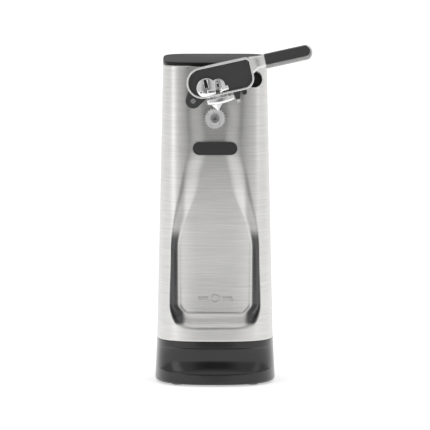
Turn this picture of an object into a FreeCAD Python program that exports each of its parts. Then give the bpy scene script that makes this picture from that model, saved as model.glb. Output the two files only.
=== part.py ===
import FreeCAD, Part
import Sketcher
import math
import os
import re

# Electric can opener.  Millimetres, +Z up, the front faces -Y, and the origin
# lies on the surface that the feet stand on, below the middle of the body.

FRONT = FreeCAD.Vector(0, -1, 0)
UP = FreeCAD.Vector(0, 0, 1)
FAR = 400.0

doc = FreeCAD.newDocument("can_opener")

# ---------------------------------------------------------------- the sizes

SIZES = {
    # outer body: half widths and half depths of its level sections
    "body_height": 240.0,
    "seam_height": 33.5,
    "top_half_width": 38.4,
    "top_half_depth": 37.0,
    "seam_half_width": 43.0,
    "seam_half_depth": 43.0,
    "foot_half_width": 44.6,
    "foot_half_depth": 44.5,
    "top_squareness": 5.0,
    "seam_squareness": 3.2,
    "foot_squareness": 2.5,
    "skin_wall": 1.2,
    "housing_wall": 2.2,
    "split_depth": 14.0,
    "seam_gap": 0.2,
    "cap_thickness": 2.4,
    "cap_lip": 5.0,
    # recess in the front
    "neck_half_width": 17.0,
    "belly_half_width": 33.0,
    "neck_depth": 2.6,
    "belly_depth": 9.5,
    "flute_width": 4.7,
    "recess_bottom": 43.5,
    "ramp_rise": 10.0,
    "flare_low": 106.0,
    "flare_high": 172.0,
    # base
    "base_wall": 2.5,
    "base_lift": 1.0,
    "base_plate_thickness": 2.0,
    "scoop_depth": 4.0,
    "scoop_low": 8.5,
    "scoop_high": 29.0,
    "foot_radius": 5.0,
    "foot_spread": 27.0,
    "screw_radius": 1.5,
    "screw_head_radius": 2.8,
    "base_screw_length": 9.0,
    "lip_wall": 1.8,
    # long screws through the rear housing
    "tie_side": 16.0,
    "tie_rise_low": 41.0,
    "tie_rise_high": 6.0,
    "tie_tube_radius": 4.6,
    "tie_counterbore": 3.4,
    "tie_seat": 13.0,
    # feed wheel, pad and drive
    "wheel_drop": 41.0,
    "wheel_radius": 7.9,
    "wheel_teeth": 22.0,
    "wheel_thickness": 3.5,
    "wheel_stand": 2.4,
    "shaft_radius": 3.0,
    "collar_radius": 3.3,
    "collar_length": 1.0,
    "shaft_bore": 1.5,
    "shaft_bore_depth": 4.0,
    "bush_wall": 1.6,
    "running_gap": 0.05,
    "pad_length": 32.6,
    "pad_height": 9.6,
    "pad_thickness": 2.6,
    "pad_below_wheel": 22.6,
    # gear train
    "frame_gap": 1.3,
    "frame_back": 3.0,
    "gear_gap": 2.0,
    "output_face": 6.0,
    "second_face": 5.0,
    "first_face": 4.0,
    "plate_thickness": 2.0,
    "plate_half_width": 25.0,
    "output_module": 1.0,
    "output_teeth": 45.0,
    "second_module": 0.8,
    "first_module": 0.7,
    "wheel_gear_teeth": 50.0,
    "pinion_teeth": 10.0,
    "tooth_backlash": 0.14,
    "idler_radius": 1.75,
    "post_radius": 3.0,
    "post_side": 20.5,
    "post_rise": 20.0,
    "post_drop": 7.0,
    "post_screw_radius": 1.25,
    "post_screw_length": 7.0,
    # motor
    "rotor_radius": 12.6,
    "air_gap": 0.5,
    "motor_shaft_radius": 1.6,
    "stack_half_width": 29.0,
    "stack_depth": 20.0,
    "stack_stand": 11.5,
    "stack_bar": 13.0,
    "stack_leg": 11.0,
    "stack_above": 19.5,
    "stack_below": 45.0,
    "coil_overhang": 5.0,
    "bracket_thickness": 1.5,
    "bearing_radius": 4.5,
    "bolt_radius": 1.6,
    "bolt_inset": 6.0,
    "spacer_radius": 2.8,
    "shading_radius": 0.9,
    "shading_stand": 2.2,
    "side_bracket_height": 12.0,
    # lever: its own frame starts at the pin, u along it and w up
    "pin_left": 16.0,
    "pin_below_top": 27.8,
    "lever_angle": 12.4,
    "carrier_stand": 1.4,
    "carrier_thickness": 5.2,
    "lever_depth": 8.1,
    "lever_lobe_radius": 11.45,
    "lever_lobe_along": 9.4,
    "lever_underside": 0.7,
    "lever_length": 47.7,
    "lever_rim": 1.5,
    "window_depth": 2.5,
    "neck_underside": 13.6,
    "handle_end": 93.5,
    "handle_start": 57.0,
    "handle_underside": 12.0,
    "handle_topside": 23.0,
    "handle_behind": 2.9,
    "handle_proud": 0.5,
    "pin_radius": 1.85,
    "carrier_radius": 5.6,
    "cutter_radius": 7.4,
    "cutter_shift": 2.4,
    "cutter_rise": 7.1,
    "rivet_shift": 8.3,
    "boss_radius": 3.6,
    "rivet_radius": 5.4,
    "blade_tip_along": 16.6,
    "blade_tip_below": 11.2,
    "blade_half_width": 3.9,
    "blade_point_height": 4.8,
    "blade_gap": 0.7,
    "guide_thickness": 1.4,
    "guide_step": 1.1,
    "stop_radius": 1.8,
    "stop_along": 38.3,
    # switch
    "switch_right": 28.9,
    "switch_below_top": 12.0,
    "bezel_radius": 5.85,
    "plunger_radius": 2.85,
    "bezel_gap": 0.6,
    "plunger_travel": 2.0,
    "switch_reach_left": 6.5,
    "switch_reach_right": 4.0,
    "switch_reach_down": 4.4,
    "switch_reach_up": 3.9,
    "switch_length": 11.0,
    # back of the body
    "vent_count": 7.0,
    "vent_width": 34.0,
    "vent_height": 2.6,
    "vent_pitch": 6.0,
    "vent_drop": 20.0,
    "vent_cut_depth": 8.0,
    "inlet_height": 48.0,
    "cord_radius": 3.2,
    "inlet_radius": 6.0,
    "gland_length": 6.0,
    "gland_flange": 1.5,
}

sheet = doc.addObject("Spreadsheet::Sheet", "Sizes")
for row, (name, number) in enumerate(SIZES.items(), start=1):
    sheet.set("A%d" % row, name)
    sheet.set("B%d" % row, "%g" % number)
    sheet.setAlias("B%d" % row, name)
doc.recompute()

WORD = re.compile(r"[a-z][a-z_]+")


def linked(expression):
    """The expression with each size's name pointing at the sheet."""
    return WORD.sub(lambda found: "Sizes." + found.group() if found.group() in SIZES else found.group(),
                    expression)


def size(expression):
    """The number that an expression of sizes comes to."""
    return float(sheet.evalExpression(linked(expression)))


def bind(target, place, expression):
    """Tie one property to an expression of sizes."""
    target.setExpression(place, linked(expression))


# Places that several pieces share, as expressions of the sizes.
WHEEL_HEIGHT = "(body_height - wheel_drop)"
PIN_HEIGHT = "(body_height - pin_below_top)"
SWITCH_HEIGHT = "(body_height - switch_below_top)"
CAP_UNDER = "(body_height - cap_thickness)"


def face_at(drop):
    """How far forward the body's front stands at a drop below its top."""
    return "(top_half_depth + (seam_half_depth - top_half_depth) * (%s) / (body_height - seam_height))" % drop


WHEEL_FLOOR = "(%s - neck_depth)" % face_at("wheel_drop")
PAD_FLOOR = "(%s - neck_depth)" % face_at("wheel_drop + pad_below_wheel")
WHEEL_BACK = "(%s + wheel_stand)" % WHEEL_FLOOR
WHEEL_FRONT = "(%s + wheel_thickness)" % WHEEL_BACK
CARRIER_BACK = "(%s + carrier_stand)" % face_at("pin_below_top")
LEVER_BACK = "(%s + carrier_thickness)" % CARRIER_BACK
LEVER_FRONT = "(%s + lever_depth)" % LEVER_BACK
FRAME_FRONT = "(seam_half_depth - belly_depth - skin_wall - frame_gap)"
PLATE_BACK = "(%s - plate_thickness)" % FRAME_FRONT
OUTPUT_BACK = "(%s - gear_gap - output_face)" % PLATE_BACK
SECOND_BACK = "(%s - gear_gap - second_face)" % OUTPUT_BACK
FIRST_BACK = "(%s - gear_gap - first_face)" % SECOND_BACK
STACK_BACK = "(frame_back - stack_stand - stack_depth)"
OUTPUT_SPAN = "(output_module * (output_teeth + pinion_teeth) / 2)"
SECOND_SPAN = "(second_module * (wheel_gear_teeth + pinion_teeth) / 2)"
FIRST_SPAN = "(first_module * (wheel_gear_teeth + pinion_teeth) / 2)"
SECOND_TURN = 59.4     # degrees below the right-hand direction, wheel to second idler
FIRST_TURN = 157.0     # second idler to first idler
ROTOR_TURN = 67.6      # first idler to rotor


def beyond(start, span, turn):
    """The axle that lies `span` away from `start`, `turn` degrees below the +X direction."""
    across = "%s + %s * %.6f" % (start[0], span, math.cos(math.radians(turn)))
    height = "%s - %s * %.6f" % (start[1], span, math.sin(math.radians(turn)))
    return "(%s)" % across, "(%s)" % height


WHEEL_AXIS = ("0", WHEEL_HEIGHT)
SECOND_AXIS = beyond(WHEEL_AXIS, OUTPUT_SPAN, SECOND_TURN)
FIRST_AXIS = beyond(SECOND_AXIS, SECOND_SPAN, FIRST_TURN)
ROTOR_AXIS = beyond(FIRST_AXIS, FIRST_SPAN, ROTOR_TURN)
PIN_AXIS = ("-pin_left", PIN_HEIGHT)
SWITCH_AXIS = ("switch_right", SWITCH_HEIGHT)

nodes = []


# ------------------------------------------------------ how pieces are made

def plane_of(body, role):
    """One of a body's own origin planes."""
    return [item for item in body.Origin.OriginFeatures if item.Role == role][0]


def new_body(label, axis, back):
    """A body whose XZ plane lies at the depth `back`, centred on an axle along Y."""
    body = doc.addObject("PartDesign::Body", label)
    body.Label = label
    bind(body, "Placement.Base.x", axis[0])
    bind(body, "Placement.Base.y", "-(%s)" % back)
    bind(body, "Placement.Base.z", axis[1])
    nodes.append(body)
    return body


def new_sketch(body, name, role="XZ_Plane", forward="0"):
    """A sketch on one of the body's planes, moved `forward` along the plane's normal."""
    sketch = body.newObject("Sketcher::SketchObject", name)
    sketch.AttachmentSupport = [(plane_of(body, role), "")]
    sketch.MapMode = "FlatFace"
    bind(sketch, "AttachmentOffset.Base.z", forward)
    return sketch


def add_number(sketch, constraint, name, expression):
    """Add a dimension to a sketch and tie it to the sheet."""
    index = sketch.addConstraint(constraint)
    sketch.renameConstraint(index, name)
    bind(sketch, "Constraints." + name, expression)


def draw_circle(sketch, name, radius, across=None, height=None):
    """A circle of a bound radius on the sketch's origin, or at bound distances from it."""
    spot = FreeCAD.Vector(size(across or "0"), size(height or "0"), 0)
    index = sketch.addGeometry(Part.Circle(spot, UP, size(radius)))
    if across is None:
        sketch.addConstraint(Sketcher.Constraint("Coincident", index, 3, -1, 1))
    else:
        add_number(sketch, Sketcher.Constraint("DistanceX", -1, 1, index, 3, spot.x), name + "_across", across)
        add_number(sketch, Sketcher.Constraint("DistanceY", -1, 1, index, 3, spot.y), name + "_height", height)
    add_number(sketch, Sketcher.Constraint("Radius", index, size(radius)), name + "_radius", radius)


def draw_rectangle(sketch, left, right, low, high):
    """A rectangle whose four sides stand at bound distances from the sketch's origin."""
    sides = [size(side) for side in (left, right, low, high)]
    corners = [FreeCAD.Vector(sides[0], sides[2], 0), FreeCAD.Vector(sides[1], sides[2], 0),
               FreeCAD.Vector(sides[1], sides[3], 0), FreeCAD.Vector(sides[0], sides[3], 0)]
    first = sketch.GeometryCount
    for corner in range(4):
        sketch.addGeometry(Part.LineSegment(corners[corner], corners[(corner + 1) % 4]))
    for corner in range(4):
        sketch.addConstraint(Sketcher.Constraint("Coincident", first + corner, 2, first + (corner + 1) % 4, 1))
    for line in (0, 2):
        sketch.addConstraint(Sketcher.Constraint("Horizontal", first + line))
        sketch.addConstraint(Sketcher.Constraint("Vertical", first + line + 1))
    for corner, words, values in ((0, ("left", "low"), (left, low)), (2, ("right", "high"), (right, high))):
        spot = corners[corner]
        add_number(sketch, Sketcher.Constraint("DistanceX", -1, 1, first + corner, 1, spot.x),
                   "%s_%d" % (words[0], first), values[0])
        add_number(sketch, Sketcher.Constraint("DistanceY", -1, 1, first + corner, 1, spot.y),
                   "%s_%d" % (words[1], first), values[1])


def add_pad(body, sketch, length):
    """Raise a sketch by a bound length, forwards."""
    pad = body.newObject("PartDesign::Pad", sketch.Name + "_pad")
    pad.Profile = sketch
    bind(pad, "Length", length)
    return pad


def turned(label, axis, back, steps):
    """A turned piece along Y: steps are (start, length, radius, bore), measured forwards from `back`."""
    body = new_body(label, axis, back)
    for number, (start, length, radius, bore) in enumerate(steps):
        sketch = new_sketch(body, "%s_step_%d" % (label, number), forward=start)
        draw_circle(sketch, "outer", radius)
        if bore is not None:
            draw_circle(sketch, "bore", bore)
        add_pad(body, sketch, length)
    return body


def plate(label, axis, back, thickness, sides, holes=()):
    """A flat plate across Y with round holes given as (across, height, radius) from its axis."""
    body = new_body(label, axis, back)
    sketch = new_sketch(body, label + "_outline")
    draw_rectangle(sketch, *sides)
    for number, (across, height, radius) in enumerate(holes):
        draw_circle(sketch, "hole_%d" % number, radius, across, height)
    add_pad(body, sketch, thickness)
    return body


def solid_node(label, shape, placement=None):
    """A piece whose shape comes from a formula or from several joined solids."""
    feature = doc.addObject("Part::Feature", label)
    feature.Label = label
    feature.Shape = shape
    feature.Placement = placement or FreeCAD.Placement()
    nodes.append(feature)
    return feature


def block(left, right, front, back, low, high):
    """A box between two x, two y and two z values."""
    corner = FreeCAD.Vector(left, front, low)
    return Part.makeBox(right - left, back - front, high - low, corner)


def rod(across, height, back, length, radius):
    """A round bar along Y that reaches `length` forwards from the depth `back`."""
    return Part.makeCylinder(radius, length, FreeCAD.Vector(across, -back, height), FRONT)


def axis_point(axis):
    """The x and z of an axle."""
    return size(axis[0]), size(axis[1])


# ------------------------------------------------------------ outer shells

def level_section(height):
    """Half width, half depth and squareness of the body at one height."""
    seam = size("seam_height")
    if height >= seam:
        share = (height - seam) / (size("body_height") - seam)
        low, high = "seam_", "top_"
    else:
        share = height / seam
        low, high = "foot_", "seam_"
    return [size(low + word) + share * (size(high + word) - size(low + word))
            for word in ("half_width", "half_depth", "squareness")]


def level_wire(height, inset, scoop=0.0):
    """The closed outline of the body at one height, drawn in by `inset` and, in front, by `scoop`."""
    half_width, half_depth, squareness = level_section(height)
    points = []
    count = 48
    for step in range(count):
        turn = 2 * math.pi * (step + 0.5) / count
        cosine, sine = math.cos(turn), math.sin(turn)
        across = (half_width - inset) * math.copysign(abs(cosine) ** (2 / squareness), cosine)
        depth = (half_depth - inset) * math.copysign(abs(sine) ** (2 / squareness), sine)
        if depth < 0:
            fade = max(0.0, 1 - (across / (0.95 * half_width)) ** 4)
            depth += scoop * fade
        points.append(FreeCAD.Vector(across, depth, height))
    curve = Part.BSplineCurve()
    curve.interpolate(points, PeriodicFlag=True)
    return Part.Wire([curve.toShape()])


def tower(low, high, inset):
    """The body's solid between two heights, drawn in by `inset` all round."""
    heights = [low, (low + high) / 2, high]
    return Part.makeLoft([level_wire(height, inset) for height in heights], True, False)


def recess_half_width(height):
    """Half width of the recess's floor: a bottle with a neck, a flare and a belly."""
    neck, belly = size("neck_half_width"), size("belly_half_width - flute_width")
    low, high = size("flare_low"), size("flare_high")
    share = min(1.0, max(0.0, (high - height) / (high - low)))
    return neck + (belly - neck) * share * share * (3 - 2 * share) if share < 1 else belly


def recess_depth(height):
    """How far the recess's floor lies behind the front: shallow in the neck, deep in the belly."""
    neck, belly = size("neck_depth"), size("belly_depth")
    ramp_top, ramp_end = size("recess_bottom + ramp_rise"), size("recess_bottom")
    if height <= ramp_top:
        return belly * (height - ramp_end) / (ramp_top - ramp_end)
    share = min(1.0, max(0.0, (size("flare_high") - height) / (size("flare_high") - ramp_top)))
    return neck + (belly - neck) * share


def recess(grown):
    """The solid that hollows out the front, grown by a wall for the skin's inner side."""
    heights = [size("recess_bottom"), size("recess_bottom + ramp_rise")]
    steps = 12
    low, high = size("flare_low"), size("flare_high")
    heights += [low + (high - low) * step / steps for step in range(steps + 1)]
    heights.append(size("body_height") + 10)
    sections = []
    for height in heights:
        front = -level_section(min(height, size("body_height")))[1]
        depth = recess_depth(height)
        half = recess_half_width(height) + grown
        flute = size("flute_width") * max(0.35, min(1.0, depth / size("belly_depth")))
        if height == heights[0]:
            half -= size("flute_width")
            flute = size("flute_width")
            height -= grown
        floor = front + depth + grown
        reach = size("belly_depth") + 6
        outer = half + flute * (reach + depth) / max(depth, 1.0) * 0.5
        outer = min(outer, half + flute * 2)
        sections.append(Part.makePolygon([
            FreeCAD.Vector(-half, floor, height), FreeCAD.Vector(half, floor, height),
            FreeCAD.Vector(outer, front - reach, height), FreeCAD.Vector(-outer, front - reach, height),
            FreeCAD.Vector(-half, floor, height)]))
    return Part.makeLoft(sections, True, True)


seam = size("seam_height")
cap_under = size(CAP_UNDER)
gap = size("seam_gap")
split = size("split_depth")
skin_top = cap_under - gap
over = 20.0

front_room = block(-FAR, FAR, -FAR, split - gap, -FAR, FAR)
rear_room = block(-FAR, FAR, split, FAR, -FAR, FAR)
slice_room = block(-FAR, FAR, -FAR, FAR, seam, skin_top)
recess_outer = recess(0.0)
recess_inner = recess(size("skin_wall"))

skin_solid = tower(seam - over, skin_top + 1, 0.0).cut(recess_outer)
skin_core = tower(seam - over - 1, skin_top + 2, size("skin_wall")).cut(recess_inner)
skin = skin_solid.cut(skin_core).common(slice_room).common(front_room)

housing = tower(seam - over, skin_top + 1, 0.0).cut(tower(seam - over - 1, skin_top + 2, size("housing_wall")))
housing = housing.common(slice_room).common(rear_room)


def back_face(height):
    """Depth of the body's back at one height."""
    return level_section(height)[1]


vent_first = size(WHEEL_HEIGHT) - size("vent_pitch") * (size("vent_count") - 1) / 2 - size("vent_drop")
for number in range(int(size("vent_count"))):
    middle = vent_first + number * size("vent_pitch")
    half_height, half_width = size("vent_height / 2"), size("vent_width / 2")
    slot = block(-half_width, half_width, split + size("vent_cut_depth"), FAR,
                 middle - half_height, middle + half_height)
    housing = housing.cut(slot)
inlet_back = -back_face(size("inlet_height")) - 4
housing = housing.cut(rod(0, size("inlet_height"), inlet_back, 20, size("inlet_radius") + 0.1))

# Tubes on the housing's inside reach the rear plate, and long screws run through them.
TIE_SIDES = ("-tie_side", "tie_side")
TIE_HEIGHTS = ("seam_height + tie_rise_low", "%s + tie_rise_high" % WHEEL_HEIGHT)
housing_outside = tower(seam - over, skin_top + 1, 0.0)
plate_rear = -size("frame_back")
housing_screws = []
tie_seat = size("tie_seat")
for words in TIE_SIDES:
    across = size(words)
    for words_up in TIE_HEIGHTS:
        height = size(words_up)
        wall = back_face(height)
        tube_length = wall + 2 - plate_rear - 0.1
        tube = rod(across, height, -wall - 2, tube_length, size("tie_tube_radius")).common(housing_outside)
        housing = housing.fuse(tube).cut(rod(across, height, -wall - 3, tie_seat + 3, size("tie_counterbore")))
        housing = housing.cut(rod(across, height, -wall - 3, 80, size("screw_radius") + 0.15))
        seat = tie_seat - wall
        head = rod(across, height, seat - 1.8, 1.8, size("screw_head_radius"))
        drive = block(across - 2, across + 2, -seat + 1.2, -seat + 4, height - 0.4, height + 0.4)
        thread_end = size("frame_back + plate_thickness") + 1.5
        thread = rod(across, height, seat, thread_end - seat, size("screw_radius"))
        housing_screws.append(head.cut(drive).fuse(thread))
wheel_x, wheel_z = axis_point(WHEEL_AXIS)
pin_x, pin_z = axis_point(PIN_AXIS)
switch_x, switch_z = axis_point(SWITCH_AXIS)
tilt = math.radians(size("lever_angle"))
stop_w = size("lever_underside - stop_radius") - 0.2
stop_x = pin_x + size("stop_along") * math.cos(tilt) - stop_w * math.sin(tilt)
stop_z = pin_z + size("stop_along") * math.sin(tilt) + stop_w * math.cos(tilt)
bush_radius = size("shaft_radius + running_gap + bush_wall")
for across, height, radius in ((wheel_x, wheel_z, bush_radius + 0.1),
                               (pin_x, pin_z, size("pin_radius") + 0.1),
                               (switch_x, switch_z, size("plunger_radius") + 1.2),
                               (stop_x, stop_z, size("stop_radius") - 0.5)):
    skin = skin.cut(rod(across, height, 20, 60, radius))
solid_node("front_skin", skin)
solid_node("rear_housing", housing)
solid_node("housing_screws", Part.makeCompound(housing_screws))

# The cap: a flat lid with a lip that drops inside the two shells.
lid = tower(cap_under - over, size("body_height") + 1, 0.0)
lid = lid.common(block(-FAR, FAR, -FAR, FAR, cap_under, size("body_height")))
lid = lid.makeFillet(1.0, [edge for edge in lid.Edges
                           if edge.BoundBox.ZMin > size("body_height") - 0.01])
lip_inset = size("housing_wall + neck_depth") + 1.4
lip_low = cap_under - size("cap_lip")
lip = tower(lip_low, cap_under + 0.5, lip_inset).cut(
    tower(lip_low - 1, cap_under + 1, lip_inset + size("lip_wall")))
lip = lip.common(block(-FAR, FAR, -FAR, FAR, lip_low, cap_under + 0.5))
solid_node("top_cap", lid.fuse(lip))

# The base: a bulging foot, a scoop across the front and an upper band under the seam.
scoop_low, scoop_high = size("scoop_low"), size("scoop_high")
base_low = size("base_lift")


def scoop_at(height):
    """How deep the front scoop is at one height."""
    share = (height - scoop_low) / (scoop_high - scoop_low)
    return size("scoop_depth") * math.sin(math.pi * share) ** 0.8 if 0 < share < 1 else 0.0


base_heights = [base_low, base_low + 2.5, scoop_low - 1.5, scoop_low]
base_heights += [scoop_low + (scoop_high - scoop_low) * step / 6 for step in range(1, 6)]
base_heights += [scoop_high, scoop_high + 1.5, seam - gap]
base_shell = Part.makeLoft([level_wire(height, 1.0 if height == base_low else 0.0, scoop_at(height))
                            for height in base_heights], True, False)
base_inner = Part.makeLoft([level_wire(height, size("base_wall"), scoop_at(height))
                            for height in [base_low - 1] + base_heights[1:-1] + [seam + 1]], True, False)
base = base_shell.cut(base_inner)
solid_node("base_housing", base)

floor_inset = size("base_wall") + 0.3
floor_low = base_low + 0.5
floor_high = floor_low + size("base_plate_thickness")
floor_wires = [level_wire(height, floor_inset) for height in (floor_low - 2, floor_high + 2)]
floor = Part.makeLoft(floor_wires, True, True)
floor = floor.common(block(-FAR, FAR, -FAR, FAR, floor_low, floor_high))
spread = size("foot_spread")
corners = [(side, end) for side in (-spread, spread) for end in (-spread, spread)]
feet, screws = [], []
for across, along in corners:
    foot = Part.makeCylinder(size("foot_radius"), floor_low, FreeCAD.Vector(across, along, 0))
    stem = Part.makeCylinder(size("screw_radius") + 0.9, size("base_plate_thickness") + 1,
                             FreeCAD.Vector(across, along, floor_low))
    feet.append(foot.makeFillet(0.6, [edge for edge in foot.Edges if edge.BoundBox.ZMax < 0.01]).fuse(stem))
    floor = floor.cut(Part.makeCylinder(size("screw_radius") + 1.0, over, FreeCAD.Vector(across, along, -1)))
screw_spots = [(0.0, -spread - 4), (0.0, spread + 4)]
posts = []
for across, along in screw_spots:
    shaft_hole = Part.makeCylinder(size("screw_radius") + 0.1, over, FreeCAD.Vector(across, along, -1))
    floor = floor.cut(shaft_hole)
    head = Part.makeCylinder(size("screw_head_radius"), 1.0, FreeCAD.Vector(across, along, floor_low - 1.0))
    thread = Part.makeCylinder(size("screw_radius"), size("base_screw_length"),
                               FreeCAD.Vector(across, along, floor_low))
    drive = Part.makeBox(4.2, 0.8, 0.5, FreeCAD.Vector(across - 2.1, along - 0.4, floor_low - 1.0))
    screws.append(head.fuse(thread).cut(drive))
    boss = Part.makeCylinder(size("screw_radius") + 1.6, 10, FreeCAD.Vector(across, along, floor_high))
    boss = boss.cut(Part.makeCylinder(size("screw_radius"), over, FreeCAD.Vector(across, along, 0)))
    rib_start = along + math.copysign(2.6, along)
    rib_end = math.copysign(FAR, along)
    rib = block(across - 1, across + 1, min(rib_start, rib_end), max(rib_start, rib_end),
                floor_high, floor_high + 10)
    posts.append(boss.fuse(rib.common(base_inner)))
base = base.fuse(posts)
nodes[-1].Shape = base
solid_node("base_plate", floor)
solid_node("rubber_feet", Part.makeCompound(feet))
solid_node("base_screws", Part.makeCompound(screws))


# ------------------------------------------------- pieces on the front face

pad_axis = ("0", "(%s - pad_below_wheel)" % WHEEL_HEIGHT)
pad = new_body("can_rest_pad", pad_axis, "%s + 0.15" % PAD_FLOOR)
pad_sketch = new_sketch(pad, "pad_outline")
draw_rectangle(pad_sketch, "-pad_length / 2", "pad_length / 2", "-pad_height / 2", "pad_height / 2")
pad_block = add_pad(pad, pad_sketch, "pad_thickness")
doc.recompute()
ends = ["Edge%d" % (index + 1) for index, edge in enumerate(pad_block.Shape.Edges)
        if edge.BoundBox.YLength > size("pad_thickness") * 0.9]
rounding = pad.newObject("PartDesign::Fillet", "pad_ends")
rounding.Base = (pad_block, ends)
bind(rounding, "Radius", "pad_height / 2 - 0.05")

boss_front = size(CARRIER_BACK) - 1.2
boss = rod(pin_x, pin_z, 20, boss_front - 20, size("boss_radius")).cut(skin_solid)
boss = max(boss.Solids, key=lambda solid: solid.Volume)
boss = boss.cut(rod(pin_x, pin_z, 20, 60, size("pin_radius") + 0.02))
solid_node("pivot_boss", boss)
turned("pivot_washer", PIN_AXIS, "%s - 1.1" % CARRIER_BACK, [("0", "0.8", "3.4", "pin_radius + running_gap")])
PIN_BACK = "(%s + 0.4)" % FRAME_FRONT
turned("pivot_pin", PIN_AXIS, PIN_BACK, [("0", "%s + 0.6 - %s" % (LEVER_BACK, PIN_BACK), "pin_radius", None)])
turned("pivot_clip", PIN_AXIS, "%s + 0.5" % PIN_BACK, [("0", "0.8", "pin_radius + 1.6", "pin_radius")])

peg_end = size(LEVER_BACK) + 4.6
peg = rod(stop_x, stop_z, 25, peg_end - 25, size("stop_radius")).cut(skin_solid)
peg = max(peg.Solids, key=lambda solid: solid.Volume)
stem_back = size(FRAME_FRONT) + 1.6
stem = rod(stop_x, stop_z, stem_back, peg_end - 4 - stem_back, size("stop_radius") - 0.6)
solid_node("lever_stop", peg.fuse(stem))

bezel_front = size(LEVER_BACK) - size("bezel_gap")
bore_radius = size("plunger_radius + running_gap")
bezel = rod(switch_x, switch_z, 20, bezel_front - 20, size("bezel_radius")).cut(skin_solid)
bezel = max(bezel.Solids, key=lambda solid: solid.Volume)
cup = rod(switch_x, switch_z, bezel_front - 1.6, 3, size("bezel_radius") - 1.2)
switch_front = size(FRAME_FRONT) - 1.8
collar = rod(switch_x, switch_z, switch_front + 0.3, bezel_front - switch_front - 0.6, bore_radius + 1.0)
bezel = bezel.cut(cup).fuse(collar).cut(rod(switch_x, switch_z, 20, 40, bore_radius))
solid_node("switch_bezel", bezel)
PLUNGER_BACK = "(%s - 1.8 + 0.3 + plunger_travel)" % FRAME_FRONT
turned("switch_plunger", SWITCH_AXIS, PLUNGER_BACK,
       [("0", "%s - bezel_gap - 0.4 - %s" % (LEVER_BACK, PLUNGER_BACK), "plunger_radius", None)])
solid_node("switch_body", block(switch_x - size("switch_reach_left"), switch_x + size("switch_reach_right"),
                                -switch_front, -switch_front + size("switch_length"),
                                switch_z - size("switch_reach_down"), switch_z + size("switch_reach_up")))


# --------------------------------------------------------------- gear train

def tooth_half_angle(radius, pitch_radius, half_thickness, pressure):
    """Half the angle that an involute tooth fills at one radius."""
    base_radius = pitch_radius * math.cos(pressure)
    slope = math.acos(min(1.0, base_radius / radius))
    return half_thickness / pitch_radius + (math.tan(pressure) - pressure) - (math.tan(slope) - slope)


def gear(teeth, module, axis, back, face, mate, tooth_there):
    """A spur gear's solid, turned so that a tooth, or a gap, points at its mate's axle."""
    pressure = math.radians(25)
    pitch_radius = module * teeth / 2
    tip, root = pitch_radius + 0.8 * module, pitch_radius - 1.1 * module
    start = max(root, pitch_radius * math.cos(pressure))
    half_thickness = (math.pi * module / 2 - size("tooth_backlash") / 2) / 2
    across, height = axis_point(axis)
    mate_across, mate_height = axis_point(mate)
    heading = math.atan2(mate_height - height, mate_across - across) + (0 if tooth_there else math.pi / teeth)

    def at(radius, angle):
        return FreeCAD.Vector(across + radius * math.cos(angle), -back, height + radius * math.sin(angle))

    radii = [start + (tip - start) * step / 4 for step in range(5)]
    angles = [tooth_half_angle(radius, pitch_radius, half_thickness, pressure) for radius in radii]
    edges = []
    for tooth in range(teeth):
        middle = heading + 2 * math.pi * tooth / teeth
        following = middle + 2 * math.pi / teeth
        for side in (-1, 1):
            flank = Part.BSplineCurve()
            flank.interpolate([at(radius, middle + side * angle) for radius, angle in zip(radii, angles)])
            if start > root:
                edges.append(Part.LineSegment(at(root, middle + side * angles[0]),
                                              at(start, middle + side * angles[0])).toShape())
            edges.append(flank.toShape())
        edges.append(Part.Arc(at(tip, middle - angles[-1]), at(tip, middle),
                              at(tip, middle + angles[-1])).toShape())
        edges.append(Part.Arc(at(root, middle + angles[0]), at(root, (middle + following) / 2),
                              at(root, following - angles[0])).toShape())
    outline = Part.Wire(Part.__sortEdges__(edges))
    return Part.Face(outline).extrude(FRONT * face)


second_x, second_z = axis_point(SECOND_AXIS)
first_x, first_z = axis_point(FIRST_AXIS)
rotor_x, rotor_z = axis_point(ROTOR_AXIS)
pinion_teeth, big_teeth = int(size("pinion_teeth")), int(size("wheel_gear_teeth"))
output_back, second_back, first_back = size(OUTPUT_BACK), size(SECOND_BACK), size(FIRST_BACK)
output_face, second_face, first_face = size("output_face"), size("second_face"), size("first_face")
overlap = 0.5

output_gear = gear(int(size("output_teeth")), size("output_module"), WHEEL_AXIS, output_back, output_face,
                   SECOND_AXIS, False)
dish = rod(wheel_x, wheel_z, output_back + output_face - 1.5, 5, 18).cut(
    rod(wheel_x, wheel_z, 0, 50, 6.5))
output_gear = output_gear.cut(dish).cut(rod(wheel_x, wheel_z, 0, 60, size("shaft_radius")))
solid_node("output_gear", output_gear)


def cluster(label, axis, big, small):
    """A big wheel and a small pinion in one piece, bored for a fixed axle."""
    across, height = axis_point(axis)
    bore = rod(across, height, 0, 60, size("idler_radius + running_gap"))
    solid_node(label, big.fuse(small).cut(bore).removeSplitter())


cluster("idler_gear_2", SECOND_AXIS,
        gear(big_teeth, size("second_module"), SECOND_AXIS, second_back, second_face, FIRST_AXIS, False),
        gear(pinion_teeth, size("output_module"), SECOND_AXIS, second_back + second_face - overlap,
             overlap + size("gear_gap") + output_face + 0.5, WHEEL_AXIS, True))
cluster("idler_gear_1", FIRST_AXIS,
        gear(big_teeth, size("first_module"), FIRST_AXIS, first_back, first_face, ROTOR_AXIS, False),
        gear(pinion_teeth, size("second_module"), FIRST_AXIS, first_back + first_face - overlap,
             overlap + size("gear_gap") + second_face + 0.5, SECOND_AXIS, True))
motor_pinion = gear(pinion_teeth, size("first_module"), ROTOR_AXIS, first_back - 0.5, first_face + 1,
                    FIRST_AXIS, True)
solid_node("motor_pinion", motor_pinion.cut(rod(rotor_x, rotor_z, 0, 60, size("motor_shaft_radius"))))

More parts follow.
